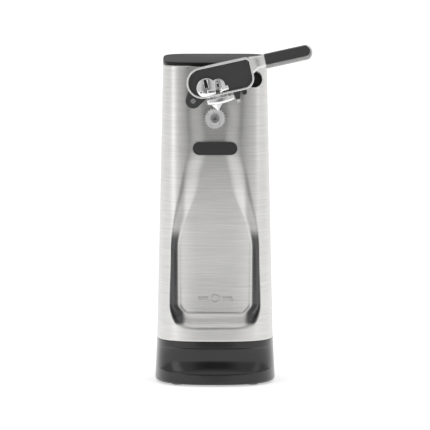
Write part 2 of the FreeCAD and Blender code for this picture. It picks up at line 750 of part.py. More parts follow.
teeth = int(size("wheel_teeth"))
rim, valley = size("wheel_radius"), size("wheel_radius") - 1.25
corners = []
for tooth in range(teeth):
    for radius, part in ((rim, 0.0), (rim, 0.12), (valley, 0.42), (valley, 0.55)):
        turn = 2 * math.pi * (tooth + part) / teeth
        corners.append(FreeCAD.Vector(wheel_x + radius * math.cos(turn), -size(WHEEL_BACK),
                                      wheel_z + radius * math.sin(turn)))
wheel = Part.Face(Part.makePolygon(corners + corners[:1])).extrude(FRONT * size("wheel_thickness"))
groove = rod(wheel_x, wheel_z, size(WHEEL_FRONT) - 0.5, 5, 6.0).cut(rod(wheel_x, wheel_z, 0, 60, 4.2))
wheel = wheel.cut(groove)
solid_node("feed_wheel", wheel.cut(rod(wheel_x, wheel_z, 0, 60, size("shaft_radius"))))
turned("drive_shaft", WHEEL_AXIS, "frame_back - 1.5",
       [("0", "%s - frame_back + 1.5 - shaft_bore_depth" % WHEEL_FRONT, "shaft_radius", None),
        ("%s - frame_back + 1.5 - shaft_bore_depth" % WHEEL_FRONT, "shaft_bore_depth", "shaft_radius",
         "shaft_bore"),
        ("%s - frame_back + 1.5" % WHEEL_FRONT, "collar_length", "collar_radius", "shaft_bore")])
turned("front_bush", WHEEL_AXIS, "%s - 1" % PLATE_BACK,
       [("0", "%s - %s + 1.6" % (WHEEL_FLOOR, PLATE_BACK), "shaft_radius + running_gap + bush_wall",
         "shaft_radius + running_gap")])
turned("rear_bush", WHEEL_AXIS, "frame_back - 1",
       [("0", "plate_thickness + 2", "shaft_radius + running_gap + bush_wall", "shaft_radius + running_gap")])
axle_length = "%s - frame_back + 1.6" % FRAME_FRONT
for label, axis in (("idler_axle_1", FIRST_AXIS), ("idler_axle_2", SECOND_AXIS)):
    turned(label, axis, "frame_back - 0.8", [("0", axle_length, "idler_radius", None)])

# Two plates hold the train, four posts keep them apart.
POST_HEIGHTS = ("%s + post_rise" % WHEEL_HEIGHT, "%s - post_drop" % ROTOR_AXIS[1])
post_spots = [(side, height) for side in ("-post_side", "post_side") for height in POST_HEIGHTS]


def hole_at(axis, radius):
    """A hole in a plate whose own axis is the feed wheel's."""
    return "(%s) - (%s)" % (axis[0], WHEEL_AXIS[0]), "(%s) - (%s)" % (axis[1], WHEEL_AXIS[1]), radius


BUSH_HOLE = "shaft_radius + running_gap + bush_wall"
train_holes = [hole_at(WHEEL_AXIS, BUSH_HOLE), hole_at(FIRST_AXIS, "idler_radius"),
               hole_at(SECOND_AXIS, "idler_radius")]
post_holes = [hole_at(place, "post_screw_radius") for place in post_spots]
bolt_holes = [hole_at(("%s + %d * (stack_half_width - bolt_inset)" % (ROTOR_AXIS[0], side), ROTOR_AXIS[1]),
                      "bolt_radius + 0.1") for side in (-1, 1)]
low_edge = "%s - %s - 12" % (ROTOR_AXIS[1], WHEEL_HEIGHT)
tie_holes = [hole_at((across, height), "screw_radius") for across in TIE_SIDES for height in TIE_HEIGHTS]
plate("gear_frame", WHEEL_AXIS, PLATE_BACK, "plate_thickness",
      ("-plate_half_width", "plate_half_width", low_edge, "plate_half_width - 1"), train_holes + post_holes)
plate("gear_plate", WHEEL_AXIS, "frame_back", "plate_thickness",
      ("-plate_half_width", "plate_half_width",
       "base_lift + 0.5 + base_plate_thickness - %s" % WHEEL_HEIGHT, "plate_half_width - 1"),
      train_holes + post_holes + bolt_holes + tie_holes + [hole_at(ROTOR_AXIS, "motor_shaft_radius + 1.5")])
posts, plate_screws = [], []
post_back, post_front = size("frame_back + plate_thickness"), size(PLATE_BACK)
thread_radius, thread_length = size("post_screw_radius"), size("post_screw_length")
for place in post_spots:
    across, height = axis_point(place)
    post = rod(across, height, post_back, post_front - post_back, size("post_radius"))
    posts.append(post.cut(rod(across, height, 0, 80, thread_radius)))
    for seat, way in ((size(FRAME_FRONT), 1), (size("frame_back"), -1)):
        head = rod(across, height, seat if way > 0 else seat - 1.2, 1.2, 2.3)
        thread = rod(across, height, seat - thread_length if way > 0 else seat, thread_length, thread_radius)
        plate_screws.append(head.fuse(thread))
solid_node("frame_posts", Part.makeCompound(posts))
solid_node("plate_screws", Part.makeCompound(plate_screws))


# -------------------------------------------------------------------- motor

stack_back = size(STACK_BACK)
stack_depth = size("stack_depth")
stack_front = stack_back + stack_depth
stack_half, leg = size("stack_half_width"), size("stack_leg")
stack_low, stack_high = rotor_z - size("stack_below"), rotor_z + size("stack_above")
bar_top = stack_low + size("stack_bar")
bore = size("rotor_radius + air_gap")
bolt_x = stack_half - size("bolt_inset")
bolt_radius = size("bolt_radius")
ring_radius = size("shading_radius")
ring_stand = bore + size("shading_stand")
bracket = size("bracket_thickness")

stack = block(rotor_x - stack_half, rotor_x + stack_half, -stack_front, -stack_back, stack_low, stack_high)
stack = stack.cut(block(rotor_x - stack_half + leg, rotor_x + stack_half - leg, -FAR, FAR,
                        bar_top, rotor_z - bore - 4.5))
stack = stack.cut(rod(rotor_x, rotor_z, stack_back - 1, stack_depth + 2, bore))
loops = []
for side in (-1, 1):
    bolt_hole = rod(rotor_x + side * bolt_x, rotor_z, stack_back - 1, stack_depth + 2, bolt_radius + 0.1)
    stack = stack.cut(bolt_hole)
    ends = []
    for turn in (20, 62):
        angle = math.radians(turn) + (math.pi if side < 0 else 0)
        ends.append((rotor_x + ring_stand * math.cos(angle), rotor_z + ring_stand * math.sin(angle)))
    bars = [rod(x, z, stack_back - 1, stack_depth + 2, ring_radius) for x, z in ends]
    for bar in bars:
        stack = stack.cut(bar)
    chord = FreeCAD.Vector(ends[1][0] - ends[0][0], 0, ends[1][1] - ends[0][1])
    links = [Part.makeCylinder(ring_radius, chord.Length, FreeCAD.Vector(ends[0][0], depth, ends[0][1]), chord)
             for depth in (-stack_front - 1, -stack_back + 1)]
    caps = [Part.makeSphere(ring_radius, FreeCAD.Vector(x, depth, z)) for x, z in ends
            for depth in (-stack_front - 1, -stack_back + 1)]
    loops.append(bars[0].fuse(bars[1:] + links + caps))
solid_node("motor_stator", stack)
solid_node("shading_rings", Part.makeCompound(loops))

overhang = size("coil_overhang")
half_bobbin = stack_half - leg - 1


def around_bar(grown, half_length):
    """A box round the stator's lower bar, standing off it by `grown`."""
    return block(rotor_x - half_length, rotor_x + half_length, -stack_front - grown, -stack_back + grown,
                 stack_low - grown, bar_top + grown)


tube = around_bar(1.4, half_bobbin).cut(around_bar(0.3, half_bobbin + 1))
flange = around_bar(overhang + 0.4, half_bobbin).cut(around_bar(0.3, half_bobbin + 1)).cut(
    around_bar(overhang + 1, half_bobbin - 1.2))
solid_node("coil_bobbin", tube.fuse(flange))
winding = around_bar(overhang, half_bobbin - 1.3)
winding = winding.makeFillet(2.5, [edge for edge in winding.Edges if edge.BoundBox.XLength > half_bobbin])
solid_node("motor_coil", winding.cut(around_bar(1.5, half_bobbin + 1)))

REAR_BRACKET = "(%s - 3.5 - bracket_thickness)" % STACK_BACK
FRONT_BRACKET = "(%s + stack_depth + 3)" % STACK_BACK
bracket_bolts = [("%d * (stack_half_width - bolt_inset)" % side, "0", "bolt_radius + 0.1")
                 for side in (-1, 1)]
bracket_sides = ("2 - stack_half_width", "stack_half_width - 2", "-7", "7")
for label, back in (("motor_bracket_front", FRONT_BRACKET), ("motor_bracket_rear", REAR_BRACKET)):
    plate(label, ROTOR_AXIS, back, "bracket_thickness", bracket_sides,
          [("0", "0", "bearing_radius")] + bracket_bolts)
for label, back in (("motor_bearing_front", FRONT_BRACKET), ("motor_bearing_rear", REAR_BRACKET)):
    turned(label, ROTOR_AXIS, "%s - 1" % back,
           [("0", "bracket_thickness + 2", "bearing_radius", "motor_shaft_radius + running_gap")])
front_bracket, rear_bracket = size(FRONT_BRACKET), size(REAR_BRACKET)
spacers, bolts = [], []
plate_back = size("frame_back")
for side in (-1, 1):
    x = rotor_x + side * bolt_x
    for low, high in ((rear_bracket + bracket, stack_back), (stack_front, front_bracket),
                      (front_bracket + bracket, plate_back)):
        spacer = rod(x, rotor_z, low, high - low, size("spacer_radius"))
        spacers.append(spacer.cut(rod(x, rotor_z, low - 1, high - low + 2, bolt_radius + 0.1)))
    low, high = rear_bracket - 2.4, plate_back + size("plate_thickness")
    nut = rod(x, rotor_z, rear_bracket - 2.0, 2.0, 2.9)
    bolts.append(rod(x, rotor_z, low, high - low, bolt_radius).fuse([nut, rod(x, rotor_z, high, 1.4, 2.9)]))
solid_node("motor_spacers", Part.makeCompound(spacers))
solid_node("motor_bolts", Part.makeCompound(bolts))

turned("rotor_core", ROTOR_AXIS, "%s - 0.5" % STACK_BACK,
       [("0", "stack_depth + 1", "rotor_radius", "motor_shaft_radius")])
turned("rotor_shaft", ROTOR_AXIS, "%s - 1.5" % REAR_BRACKET,
       [("0", "%s + first_face + 1 - %s + 1.5" % (FIRST_BACK, REAR_BRACKET), "motor_shaft_radius", None)])

# Side brackets tie the rear plate to the skin.
ties = []
tie_low = stack_low - 18
tie_high = tie_low + size("side_bracket_height")
for side in (-1, 1):
    reach = level_section(tie_high)[0] - size("skin_wall") - 0.4
    inside = size("plate_half_width") - 8
    bar = block(min(side * inside, side * reach), max(side * inside, side * reach),
                -plate_back, -plate_back + 1.5, tie_low, tie_high)
    flap = block(min(side * (reach - 1.5), side * reach), max(side * (reach - 1.5), side * reach),
                 -plate_back - 11, -plate_back + 1.5, tie_low, tie_high)
    ties.append(bar.fuse(flap).removeSplitter())
solid_node("side_brackets", Part.makeCompound(ties))

inlet_z = size("inlet_height")
inlet_y = back_face(inlet_z)
gland_length, flange = size("gland_length"), size("gland_flange")
gland = rod(0, inlet_z, -inlet_y - gland_length, gland_length, size("cord_radius") + 1.8)
gland = gland.fuse([rod(0, inlet_z, -inlet_y - 0.5 - flange, flange, size("inlet_radius") + 2),
                    rod(0, inlet_z, -inlet_y - 1, size("housing_wall") + 2.8, size("inlet_radius")),
                    rod(0, inlet_z, -inlet_y + size("housing_wall") + 0.5, flange, size("inlet_radius") + 1.5)])
solid_node("cord_gland", gland.cut(rod(0, inlet_z, -inlet_y - 10, 30, size("cord_radius"))))


# -------------------------------------------------------------------- lever
# Drawn flat, with the pin at the origin, then turned up and carried to the pin.

lever_place = FreeCAD.Placement(FreeCAD.Vector(pin_x, 0, pin_z),
                                FreeCAD.Rotation(FreeCAD.Vector(0, 1, 0), -size("lever_angle")))
lever_back, lever_front = size(LEVER_BACK), size(LEVER_FRONT)
lobe_u, lobe_radius = size("lever_lobe_along"), size("lever_lobe_radius")
underside = size("lever_underside")
topside = underside + 2 * lobe_radius
panel_end = size("lever_length")
neck_low = size("neck_underside")
handle_start = size("handle_start")


def spot(along, above, depth=0.0):
    """A point of the lever's own frame."""
    return FreeCAD.Vector(along, -depth, above)


def outline_solid(edges, back, thickness):
    """A closed outline of the lever's frame, raised forwards from a depth."""
    wire = Part.Wire([edge.toShape() for edge in edges])
    wire.translate(FreeCAD.Vector(0, -back, 0))
    return Part.Face(wire).extrude(FRONT * thickness)


def closed_run(points):
    """Straight edges through the points and back to the first."""
    return [Part.LineSegment(points[index - 1], points[index]) for index in range(len(points))]


def window_outline(inset):
    """The panel drawn in by `inset`: a round lobe on the left, rounded corners on the right."""
    low, high, right = underside + inset, topside - inset, panel_end - inset
    small, large = 3.0, 8.5 - inset
    half = math.sqrt(0.5)
    return [
        Part.LineSegment(spot(lobe_u, low), spot(right - large, low)),
        Part.Arc(spot(right - large, low), spot(right - large * (1 - half), low + large * (1 - half)),
                 spot(right, low + large)),
        Part.LineSegment(spot(right, low + large), spot(right, high - small)),
        Part.Arc(spot(right, high - small), spot(right - small * (1 - half), high - small * (1 - half)),
                 spot(right - small, high)),
        Part.LineSegment(spot(right - small, high), spot(lobe_u, high)),
        Part.Arc(spot(lobe_u, high), spot(lobe_u - lobe_radius + inset, (low + high) / 2), spot(lobe_u, low)),
    ]


depth = size("lever_depth")
frame = outline_solid(window_outline(0.0), lever_back, depth)
neck = outline_solid(closed_run([spot(panel_end - 6, neck_low), spot(handle_start + 1, neck_low),
                                 spot(handle_start + 1, topside - 2.0), spot(panel_end - 6, topside)]),
                     lever_back, depth - 1.5)
frame = frame.fuse(neck)

handle_back, handle_front = lever_back - size("handle_behind"), lever_front + size("handle_proud")
handle_low, handle_high, handle_end = size("handle_underside"), size("handle_topside"), size("handle_end")
handle = block(handle_start, handle_end, -handle_front, -handle_back, handle_low, handle_high)
handle = handle.makeFillet(5.0, [edge for edge in handle.Edges
                                 if edge.BoundBox.XMin > handle_end - 0.01 and edge.BoundBox.YLength > 1])
grip_room = block(handle_start + 1.5, handle_end - 1.5, -FAR, -lever_back, handle_low + 3.3, FAR)
grip = handle.common(grip_room)
frame = frame.fuse(handle.cut(grip_room))
window_depth, rim_width = size("window_depth"), size("lever_rim")
frame = frame.cut(outline_solid(window_outline(rim_width), lever_front - window_depth, window_depth + 1))
solid_node("lever_frame", frame, lever_place)
solid_node("handle_grip", grip, lever_place)

floor_level = lever_front - window_depth
insert_thickness, bracket_level = 0.6, 0.6
insert = outline_solid(window_outline(rim_width + 0.1), floor_level, insert_thickness)
solid_node("lever_insert", insert, lever_place)

screw_u, screw_w = lobe_u + size("cutter_shift"), underside + size("cutter_rise")
cutter_radius = size("cutter_radius")
rivet_u, rivet_w = screw_u + size("rivet_shift"), underside + rim_width + 0.15 + size("rivet_radius")
bracket_back = floor_level + insert_thickness
band_low = underside + rim_width + 0.2
band = block(screw_u - 1.2, rivet_u + 7.4, -bracket_back - 0.8, -bracket_back, band_low, screw_w)
band = band.cut(block(rivet_u - 2.1, rivet_u + 1.3, -FAR, 0, -10, screw_w - 1.3))
solid_node("cutter_bracket", band, lever_place)
disc_back = bracket_back + 0.8
screw = rod(screw_u, screw_w, disc_back, lever_front + 0.1 - disc_back, 2.5).fuse(
    rod(screw_u, screw_w, lever_front + 0.1, 0.9, cutter_radius))
slot = block(screw_u - 1.1, screw_u + 1.5, -FAR, -lever_front - 0.5, screw_w - 0.4, screw_w + 6.3)
solid_node("cutter_screw", screw.cut(slot), lever_place)
rivet = rod(rivet_u, rivet_w, disc_back, 1.0, size("rivet_radius"))
rivet = rivet.cut(rod(rivet_u + 0.7, rivet_w + 3.5, disc_back + 0.3, 3, 0.7))
rivet = rivet.cut(block(rivet_u - 0.4, rivet_u + 1.0, -FAR, -disc_back - 0.4, rivet_w - 0.5, rivet_w + 1.6))
solid_node("blade_rivet", rivet, lever_place)

blade_back = size(WHEEL_FRONT) + size("blade_gap")
tip_u, tip_w = size("blade_tip_along"), -size("blade_tip_below")
half_blade, shoulder = size("blade_half_width"), tip_w + size("blade_point_height")
blade = outline_solid(closed_run([spot(tip_u, tip_w), spot(tip_u + half_blade, shoulder),
                                  spot(tip_u + half_blade, underside + 3), spot(tip_u - half_blade, underside + 3),
                                  spot(tip_u - half_blade, shoulder)]), blade_back, lever_back - blade_back)
solid_node("cutter_blade", blade, lever_place)

pin_bore = rod(0, 0, 0, 80, size("pin_radius + running_gap"))
carrier_back = size(CARRIER_BACK)
carrier_radius = size("carrier_radius")
arm_end = tip_u - half_blade - 1.0
carrier = rod(0, 0, carrier_back, lever_back - carrier_back, carrier_radius)
arm = outline_solid(closed_run([spot(-carrier_radius * 0.8, carrier_radius * 0.6),
                                spot(carrier_radius * 0.6, -carrier_radius * 0.8),
                                spot(arm_end, underside), spot(arm_end, 14), spot(2, 14)]),
                    carrier_back, lever_back - carrier_back)
solid_node("lever_carrier", carrier.fuse(arm).removeSplitter().cut(pin_bore), lever_place)

guide_front = lever_front - size("guide_step")
guide_back = guide_front - size("guide_thickness")
guide_left, guide_right = screw_u - 1.8, rivet_u + 10.4
edges = [
    Part.LineSegment(spot(guide_right, underside - 1.9), spot(guide_left, underside - 1.9)),
    Part.LineSegment(spot(guide_left, underside - 1.9), spot(guide_left + 0.6, underside - 4.9)),
    Part.Arc(spot(guide_left + 0.6, underside - 4.9), spot(guide_left + 8.9, underside - 6.5),
             spot(guide_right - 0.6, underside - 5.6)),
    Part.LineSegment(spot(guide_right - 0.6, underside - 5.6), spot(guide_right, underside - 1.9)),
]
guide = outline_solid(edges, guide_back, guide_front - guide_back)
for left in (guide_left + 2, guide_right - 5):
    guide = guide.fuse(block(left, left + 3, -guide_back - 1.0, -guide_back, underside - 2.5, underside - 0.05))
solid_node("rim_guide", guide.removeSplitter(), lever_place)

holder_u = guide_right - 0.4
holder = outline_solid(closed_run([spot(holder_u, underside - 0.05), spot(holder_u + 5.4, underside - 0.05),
                                   spot(holder_u + 4.2, underside - 5.9), spot(holder_u + 1.2, underside - 5.9)]),
                       lever_back + 0.2, guide_back - lever_back - 0.4)
solid_node("magnet_holder", holder, lever_place)
magnet = rod(holder_u + 2.7, underside - 7.2, lever_back + 0.6, guide_back - lever_back - 1.2, 1.3)
solid_node("lid_magnet", magnet, lever_place)

doc.recompute()


# ---------------------------------------------------------- check and write

for item in doc.Objects:
    if "Invalid" in item.State or "Error" in item.State:
        raise RuntimeError("%s did not build: %s" % (item.Label, item.State))
for node in nodes:
    if node.Shape.isNull() or not node.Shape.isValid() or not node.Shape.Solids:
        raise RuntimeError("%s has no valid solid" % node.Label)
os.makedirs("parts", exist_ok=True)
for node in nodes:
    node.Shape.exportStep("parts/%s.step" % node.Label)
    print("%-20s %2d solid(s) %10.1f mm3" % (node.Label, len(node.Shape.Solids), node.Shape.Volume))
print(len(nodes), "nodes")
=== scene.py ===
"""Electric can opener: the visual model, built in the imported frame, in metres."""
import logging
import math
from dataclasses import dataclass, field
from enum import Enum

import bmesh
import bpy
from mathutils import Matrix, Vector


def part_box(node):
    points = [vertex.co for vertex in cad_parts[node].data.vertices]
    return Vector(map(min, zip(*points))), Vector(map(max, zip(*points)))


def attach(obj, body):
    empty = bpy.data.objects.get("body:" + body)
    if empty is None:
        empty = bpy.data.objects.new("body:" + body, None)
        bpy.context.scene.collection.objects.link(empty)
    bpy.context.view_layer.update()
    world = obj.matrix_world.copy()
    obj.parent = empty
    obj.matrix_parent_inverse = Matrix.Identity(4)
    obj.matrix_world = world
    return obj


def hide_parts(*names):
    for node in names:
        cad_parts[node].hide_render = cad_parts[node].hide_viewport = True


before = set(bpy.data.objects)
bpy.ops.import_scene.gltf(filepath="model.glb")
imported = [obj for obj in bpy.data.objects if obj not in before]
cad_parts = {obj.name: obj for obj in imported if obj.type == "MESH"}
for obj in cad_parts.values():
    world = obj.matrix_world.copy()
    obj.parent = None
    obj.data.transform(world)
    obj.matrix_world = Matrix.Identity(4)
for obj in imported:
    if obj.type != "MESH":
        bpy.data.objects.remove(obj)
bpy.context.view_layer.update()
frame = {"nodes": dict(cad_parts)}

MM = 0.001
LOG = logging.getLogger("can_opener")

Point = tuple[float, float]
Row = list[Vector]


# ------------------------------------------------------------------- meshes

def add_object(name: str, mesh: bpy.types.Mesh) -> bpy.types.Object:
    """Link a mesh into the scene as an object of the same name."""
    piece = bpy.data.objects.new(name, mesh)
    bpy.context.scene.collection.objects.link(piece)
    return piece


def mesh_from(name: str, build: bmesh.types.BMesh, smooth: bool = True) -> bpy.types.Object:
    """Turn a bmesh into an object.

    Args:
        name: the piece's name.
        build: the finished bmesh, which is freed here.
        smooth: whether its faces are smooth shaded.

    Returns:
        The new object.
    """
    bmesh.ops.recalc_face_normals(build, faces=build.faces)
    for face in build.faces:
        face.smooth = smooth
    mesh = bpy.data.meshes.new(name)
    build.to_mesh(mesh)
    build.free()
    return add_object(name, mesh)


def grid_into(build: bmesh.types.BMesh, rows: list[Row], closed: bool, cap: bool = False) -> list[list]:
    """Stitch rows of points into a net of four-sided faces.

    Args:
        build: the bmesh that takes the faces.
        rows: rows of equally many points.
        closed: whether each row runs round to its own start.
        cap: whether the first and last rows are filled.

    Returns:
        The rows of new vertices.
    """
    net = [[build.verts.new(point) for point in row] for row in rows]
    width = len(rows[0])
    for low, high in zip(net, net[1:]):
        for index in range(width if closed else width - 1):
            after = (index + 1) % width
            build.faces.new((low[index], low[after], high[after], high[index]))
    if cap:
        build.faces.new(list(reversed(net[0])))
        build.faces.new(net[-1])
    return net


def add_bevel(piece: bpy.types.Object, width: float, segments: int = 3, angle: float = 35.0) -> None:
    """Round a piece's sharp edges and keep its flats flat."""
    bevel = piece.modifiers.new("soft_edges", "BEVEL")
    bevel.width = width
    bevel.segments = segments
    bevel.limit_method = "ANGLE"
    bevel.angle_limit = math.radians(angle)
    bevel.harden_normals = True


def add_thickness(piece: bpy.types.Object, thickness: float) -> None:
    """Give a surface a wall on its inner side."""
    wall = piece.modifiers.new("wall", "SOLIDIFY")
    wall.thickness = thickness
    wall.offset = -1.0


def arc(centre: Point, radius: float, start: float, end: float, steps: int = 12) -> list[Point]:
    """Points along an arc, angles in degrees."""
    turns = [math.radians(start + (end - start) * step / steps) for step in range(steps + 1)]
    return [(centre[0] + radius * math.cos(turn), centre[1] + radius * math.sin(turn)) for turn in turns]


def blend(low: float, high: float, value: float) -> float:
    """A smooth step from 0 at `low` to 1 at `high`."""
    share = min(1.0, max(0.0, (value - low) / (high - low)))
    return share * share * (3 - 2 * share)


# ----------------------------------------------------------------- finishes

class Finish(Enum):
    """The finishes that the pieces wear."""

    SKIN = "brushed_skin"
    BLACK = "gloss_black"
    MATTE = "matte_black"
    RUBBER = "soft_rubber"
    ZINC = "zinc_plate"
    CHROME = "bright_chrome"
    BRASS = "turned_brass"
    SHEET = "plated_sheet"
    CORE = "core_laminations"
    COPPER = "copper_winding"
    NYLON = "natural_nylon"
    GROUND = "ground_steel"
    GRIP = "grip_black"
    SATIN = "satin_black"
    POLISHED = "polished_panel"


class GrainGroup:
    """A shader group that gives fine grain: a value round 0, and a height for bumps."""

    name = "fine_grain"

    def __init__(self) -> None:
        """Build the group once."""
        self.tree = bpy.data.node_groups.new(self.name, "ShaderNodeTree")
        face = self.tree.interface
        for label, default in (("Along X", 1.0), ("Along Y", 1.0), ("Along Z", 1.0), ("Scale", 400.0),
                               ("Detail", 3.0)):
            socket = face.new_socket(label, in_out="INPUT", socket_type="NodeSocketFloat")
            socket.default_value = default
        face.new_socket("Value", in_out="OUTPUT", socket_type="NodeSocketFloat")
        face.new_socket("Blotch", in_out="OUTPUT", socket_type="NodeSocketFloat")
        nodes, links = self.tree.nodes, self.tree.links
        source = nodes.new("NodeGroupInput")
        target = nodes.new("NodeGroupOutput")
        place = nodes.new("ShaderNodeTexCoord")
        stretch = nodes.new("ShaderNodeCombineXYZ")
        product = nodes.new("ShaderNodeVectorMath")
        product.operation = "MULTIPLY"
        noise = nodes.new("ShaderNodeTexNoise")
        blotch = nodes.new("ShaderNodeTexNoise")
        blotch.inputs["Scale"].default_value = 22.0
        blotch.inputs["Detail"].default_value = 3.0
        for label, axis in (("Along X", "X"), ("Along Y", "Y"), ("Along Z", "Z")):
            links.new(source.outputs[label], stretch.inputs[axis])
        links.new(place.outputs["Object"], product.inputs[0])
        links.new(stretch.outputs[0], product.inputs[1])
        links.new(product.outputs[0], noise.inputs["Vector"])
        links.new(place.outputs["Object"], blotch.inputs["Vector"])
        links.new(source.outputs["Scale"], noise.inputs["Scale"])
        links.new(source.outputs["Detail"], noise.inputs["Detail"])
        links.new(noise.outputs["Fac"], target.inputs["Value"])
        links.new(blotch.outputs["Fac"], target.inputs["Blotch"])


@dataclass(frozen=True)
class Surface:
    """One finish: its colour, gloss and grain."""

    finish: Finish
    color: tuple[float, float, float]
    metallic: float
    roughness: float
    spread: float = 0.06
    shade: float = 0.06
    bump: float = 0.05
    grain: tuple[float, float, float] = (1.0, 1.0, 1.0)
    scale: float = 600.0
    coat: float = 0.0
    specular: float = 0.5
    # The mask attribute darkens the colour towards a near-black as painted shade, with its own roughness
    # there.
    mask: str = ""
    painted_shade_color: tuple[float, float, float] = (0.085, 0.085, 0.086)
    mask_roughness: float = 0.22

    def mixed(self, nodes: bpy.types.Nodes, links: bpy.types.NodeLinks, factor: bpy.types.NodeSocket,
              low: tuple[float, float, float], high: tuple[float, float, float]) -> bpy.types.NodeSocket:
        """A colour that runs from `low` to `high` with a factor."""
        mix = nodes.new("ShaderNodeMix")
        mix.data_type = "RGBA"
        mix.inputs["A"].default_value = (*low, 1.0)
        mix.inputs["B"].default_value = (*high, 1.0)
        links.new(factor, mix.inputs["Factor"])
        return mix.outputs["Result"]

    def ranged(self, nodes: bpy.types.Nodes, links: bpy.types.NodeLinks, factor: bpy.types.NodeSocket,
               low: float, high: float) -> bpy.types.NodeSocket:
        """A number that runs from `low` to `high` as the factor goes from 0.3 to 0.7.

        Args:
            nodes: the material's nodes.
            links: the material's links.
            factor: the socket that drives the number.
            low: the number at a factor of 0.3 or less.
            high: the number at a factor of 0.7 or more.

        Returns:
            The socket that carries the number.
        """
        spread = nodes.new("ShaderNodeMapRange")
        spread.inputs["From Min"].default_value = 0.3
        spread.inputs["From Max"].default_value = 0.7
        spread.inputs["To Min"].default_value = low
        spread.inputs["To Max"].default_value = high
        links.new(factor, spread.inputs["Value"])
        return spread.outputs["Result"]

    def material(self, grain: GrainGroup) -> bpy.types.Material:
        """Build the finish's material.

        Args:
            grain: the shared grain group.

        Returns:
            The finished material.
        """
        made = bpy.data.materials.new(self.finish.value)
        made.use_nodes = True
        nodes, links = made.node_tree.nodes, made.node_tree.links
        shader = nodes["Principled BSDF"]
        shader.inputs["Metallic"].default_value = self.metallic
        shader.inputs["Coat Weight"].default_value = self.coat
        shader.inputs["Coat Roughness"].default_value = 0.06
        shader.inputs["Specular IOR Level"].default_value = self.specular
        group = nodes.new("ShaderNodeGroup")
        group.node_tree = grain.tree
        for label, number in zip(("Along X", "Along Y", "Along Z"), self.grain):
            group.inputs[label].default_value = number
        group.inputs["Scale"].default_value = self.scale
        dark = tuple(channel * (1 - self.shade) for channel in self.color)
        light = tuple(min(1.0, channel * (1 + self.shade)) for channel in self.color)
        share = self.ranged(nodes, links, group.outputs["Value"], 0.0, 1.0)
        color = self.mixed(nodes, links, share, dark, light)
        rough = self.ranged(nodes, links, group.outputs["Blotch"], self.roughness - self.spread,
                            self.roughness + self.spread)
        # Painted shade: where the mask attribute is set, the base colour is pulled towards a near-black.
        if self.mask:
            painted = nodes.new("ShaderNodeAttribute")
            painted.attribute_name = self.mask
            painted_shade_mix = nodes.new("ShaderNodeMix")
            painted_shade_mix.data_type = "RGBA"
            links.new(painted.outputs["Fac"], painted_shade_mix.inputs["Factor"])
            links.new(color, painted_shade_mix.inputs["A"])
            painted_shade_mix.inputs["B"].default_value = (*self.painted_shade_color, 1.0)
            color = painted_shade_mix.outputs["Result"]
            blend_rough = nodes.new("ShaderNodeMix")
            links.new(painted.outputs["Fac"], blend_rough.inputs["Factor"])
            links.new(rough, blend_rough.inputs["A"])
            blend_rough.inputs["B"].default_value = self.mask_roughness
            rough = blend_rough.outputs["Result"]
        links.new(color, shader.inputs["Base Color"])
        links.new(rough, shader.inputs["Roughness"])
        bump = nodes.new("ShaderNodeBump")
        bump.inputs["Strength"].default_value = self.bump
        bump.inputs["Distance"].default_value = 0.1 * MM
        links.new(group.outputs["Value"], bump.inputs["Height"])
        links.new(bump.outputs["Normal"], shader.inputs["Normal"])
        return made


SURFACES = (
    # The skin's flute attribute carries painted shade in the recess's side walls.
    Surface(Finish.SKIN, (0.66, 0.655, 0.645), 1.0, 0.36, 0.02, 0.10, 0.25, (0.05, 0.05, 2.6), 900.0,
            mask="flute"),
    Surface(Finish.BLACK, (0.006, 0.006, 0.0065), 0.0, 0.24, 0.04, 0.25, 0.02, scale=300.0, coat=0.2,
            specular=0.5),
    Surface(Finish.SATIN, (0.012, 0.012, 0.013), 0.0, 0.38, 0.05, 0.25, 0.04, scale=900.0, specular=0.18),
    Surface(Finish.GRIP, (0.045, 0.045, 0.046), 0.0, 0.40, 0.05, 0.20, 0.10, scale=1500.0),
    Surface(Finish.POLISHED, (0.80, 0.795, 0.79), 0.55, 0.22, 0.04, 0.05, 0.08, (0.3, 1.0, 1.0), 700.0),
    Surface(Finish.MATTE, (0.035, 0.035, 0.036), 0.0, 0.55, 0.08, 0.25, 0.15, scale=1200.0),
    Surface(Finish.RUBBER, (0.022, 0.022, 0.023), 0.0, 0.50, 0.08, 0.25, 0.15, scale=1800.0),
    Surface(Finish.ZINC, (0.62, 0.62, 0.61), 1.0, 0.32, 0.08, 0.10, 0.12, scale=900.0),
    # The chrome's slot attribute carries painted shade in slots and holes.
    Surface(Finish.CHROME, (0.88, 0.88, 0.88), 0.85, 0.14, 0.05, 0.04, 0.05, (1.0, 1.0, 0.3), 700.0,
            mask="slot"),
    Surface(Finish.BRASS, (0.70, 0.50, 0.22), 1.0, 0.34, 0.08, 0.12, 0.12, scale=900.0),
    Surface(Finish.SHEET, (0.56, 0.56, 0.55), 1.0, 0.40, 0.08, 0.10, 0.15, (1.0, 1.0, 0.2), 700.0),
    Surface(Finish.CORE, (0.16, 0.155, 0.15), 0.9, 0.45, 0.08, 0.30, 0.40, (0.02, 3.0, 0.02), 900.0),
    Surface(Finish.COPPER, (0.62, 0.26, 0.11), 1.0, 0.34, 0.06, 0.25, 0.60, (3.0, 0.02, 0.02), 900.0),
    Surface(Finish.NYLON, (0.80, 0.77, 0.68), 0.0, 0.42, 0.06, 0.06, 0.06, scale=500.0),
    Surface(Finish.GROUND, (0.78, 0.78, 0.78), 0.35, 0.36, 0.08, 0.14, 0.20, (2.0, 1.0, 0.1), 900.0),
)


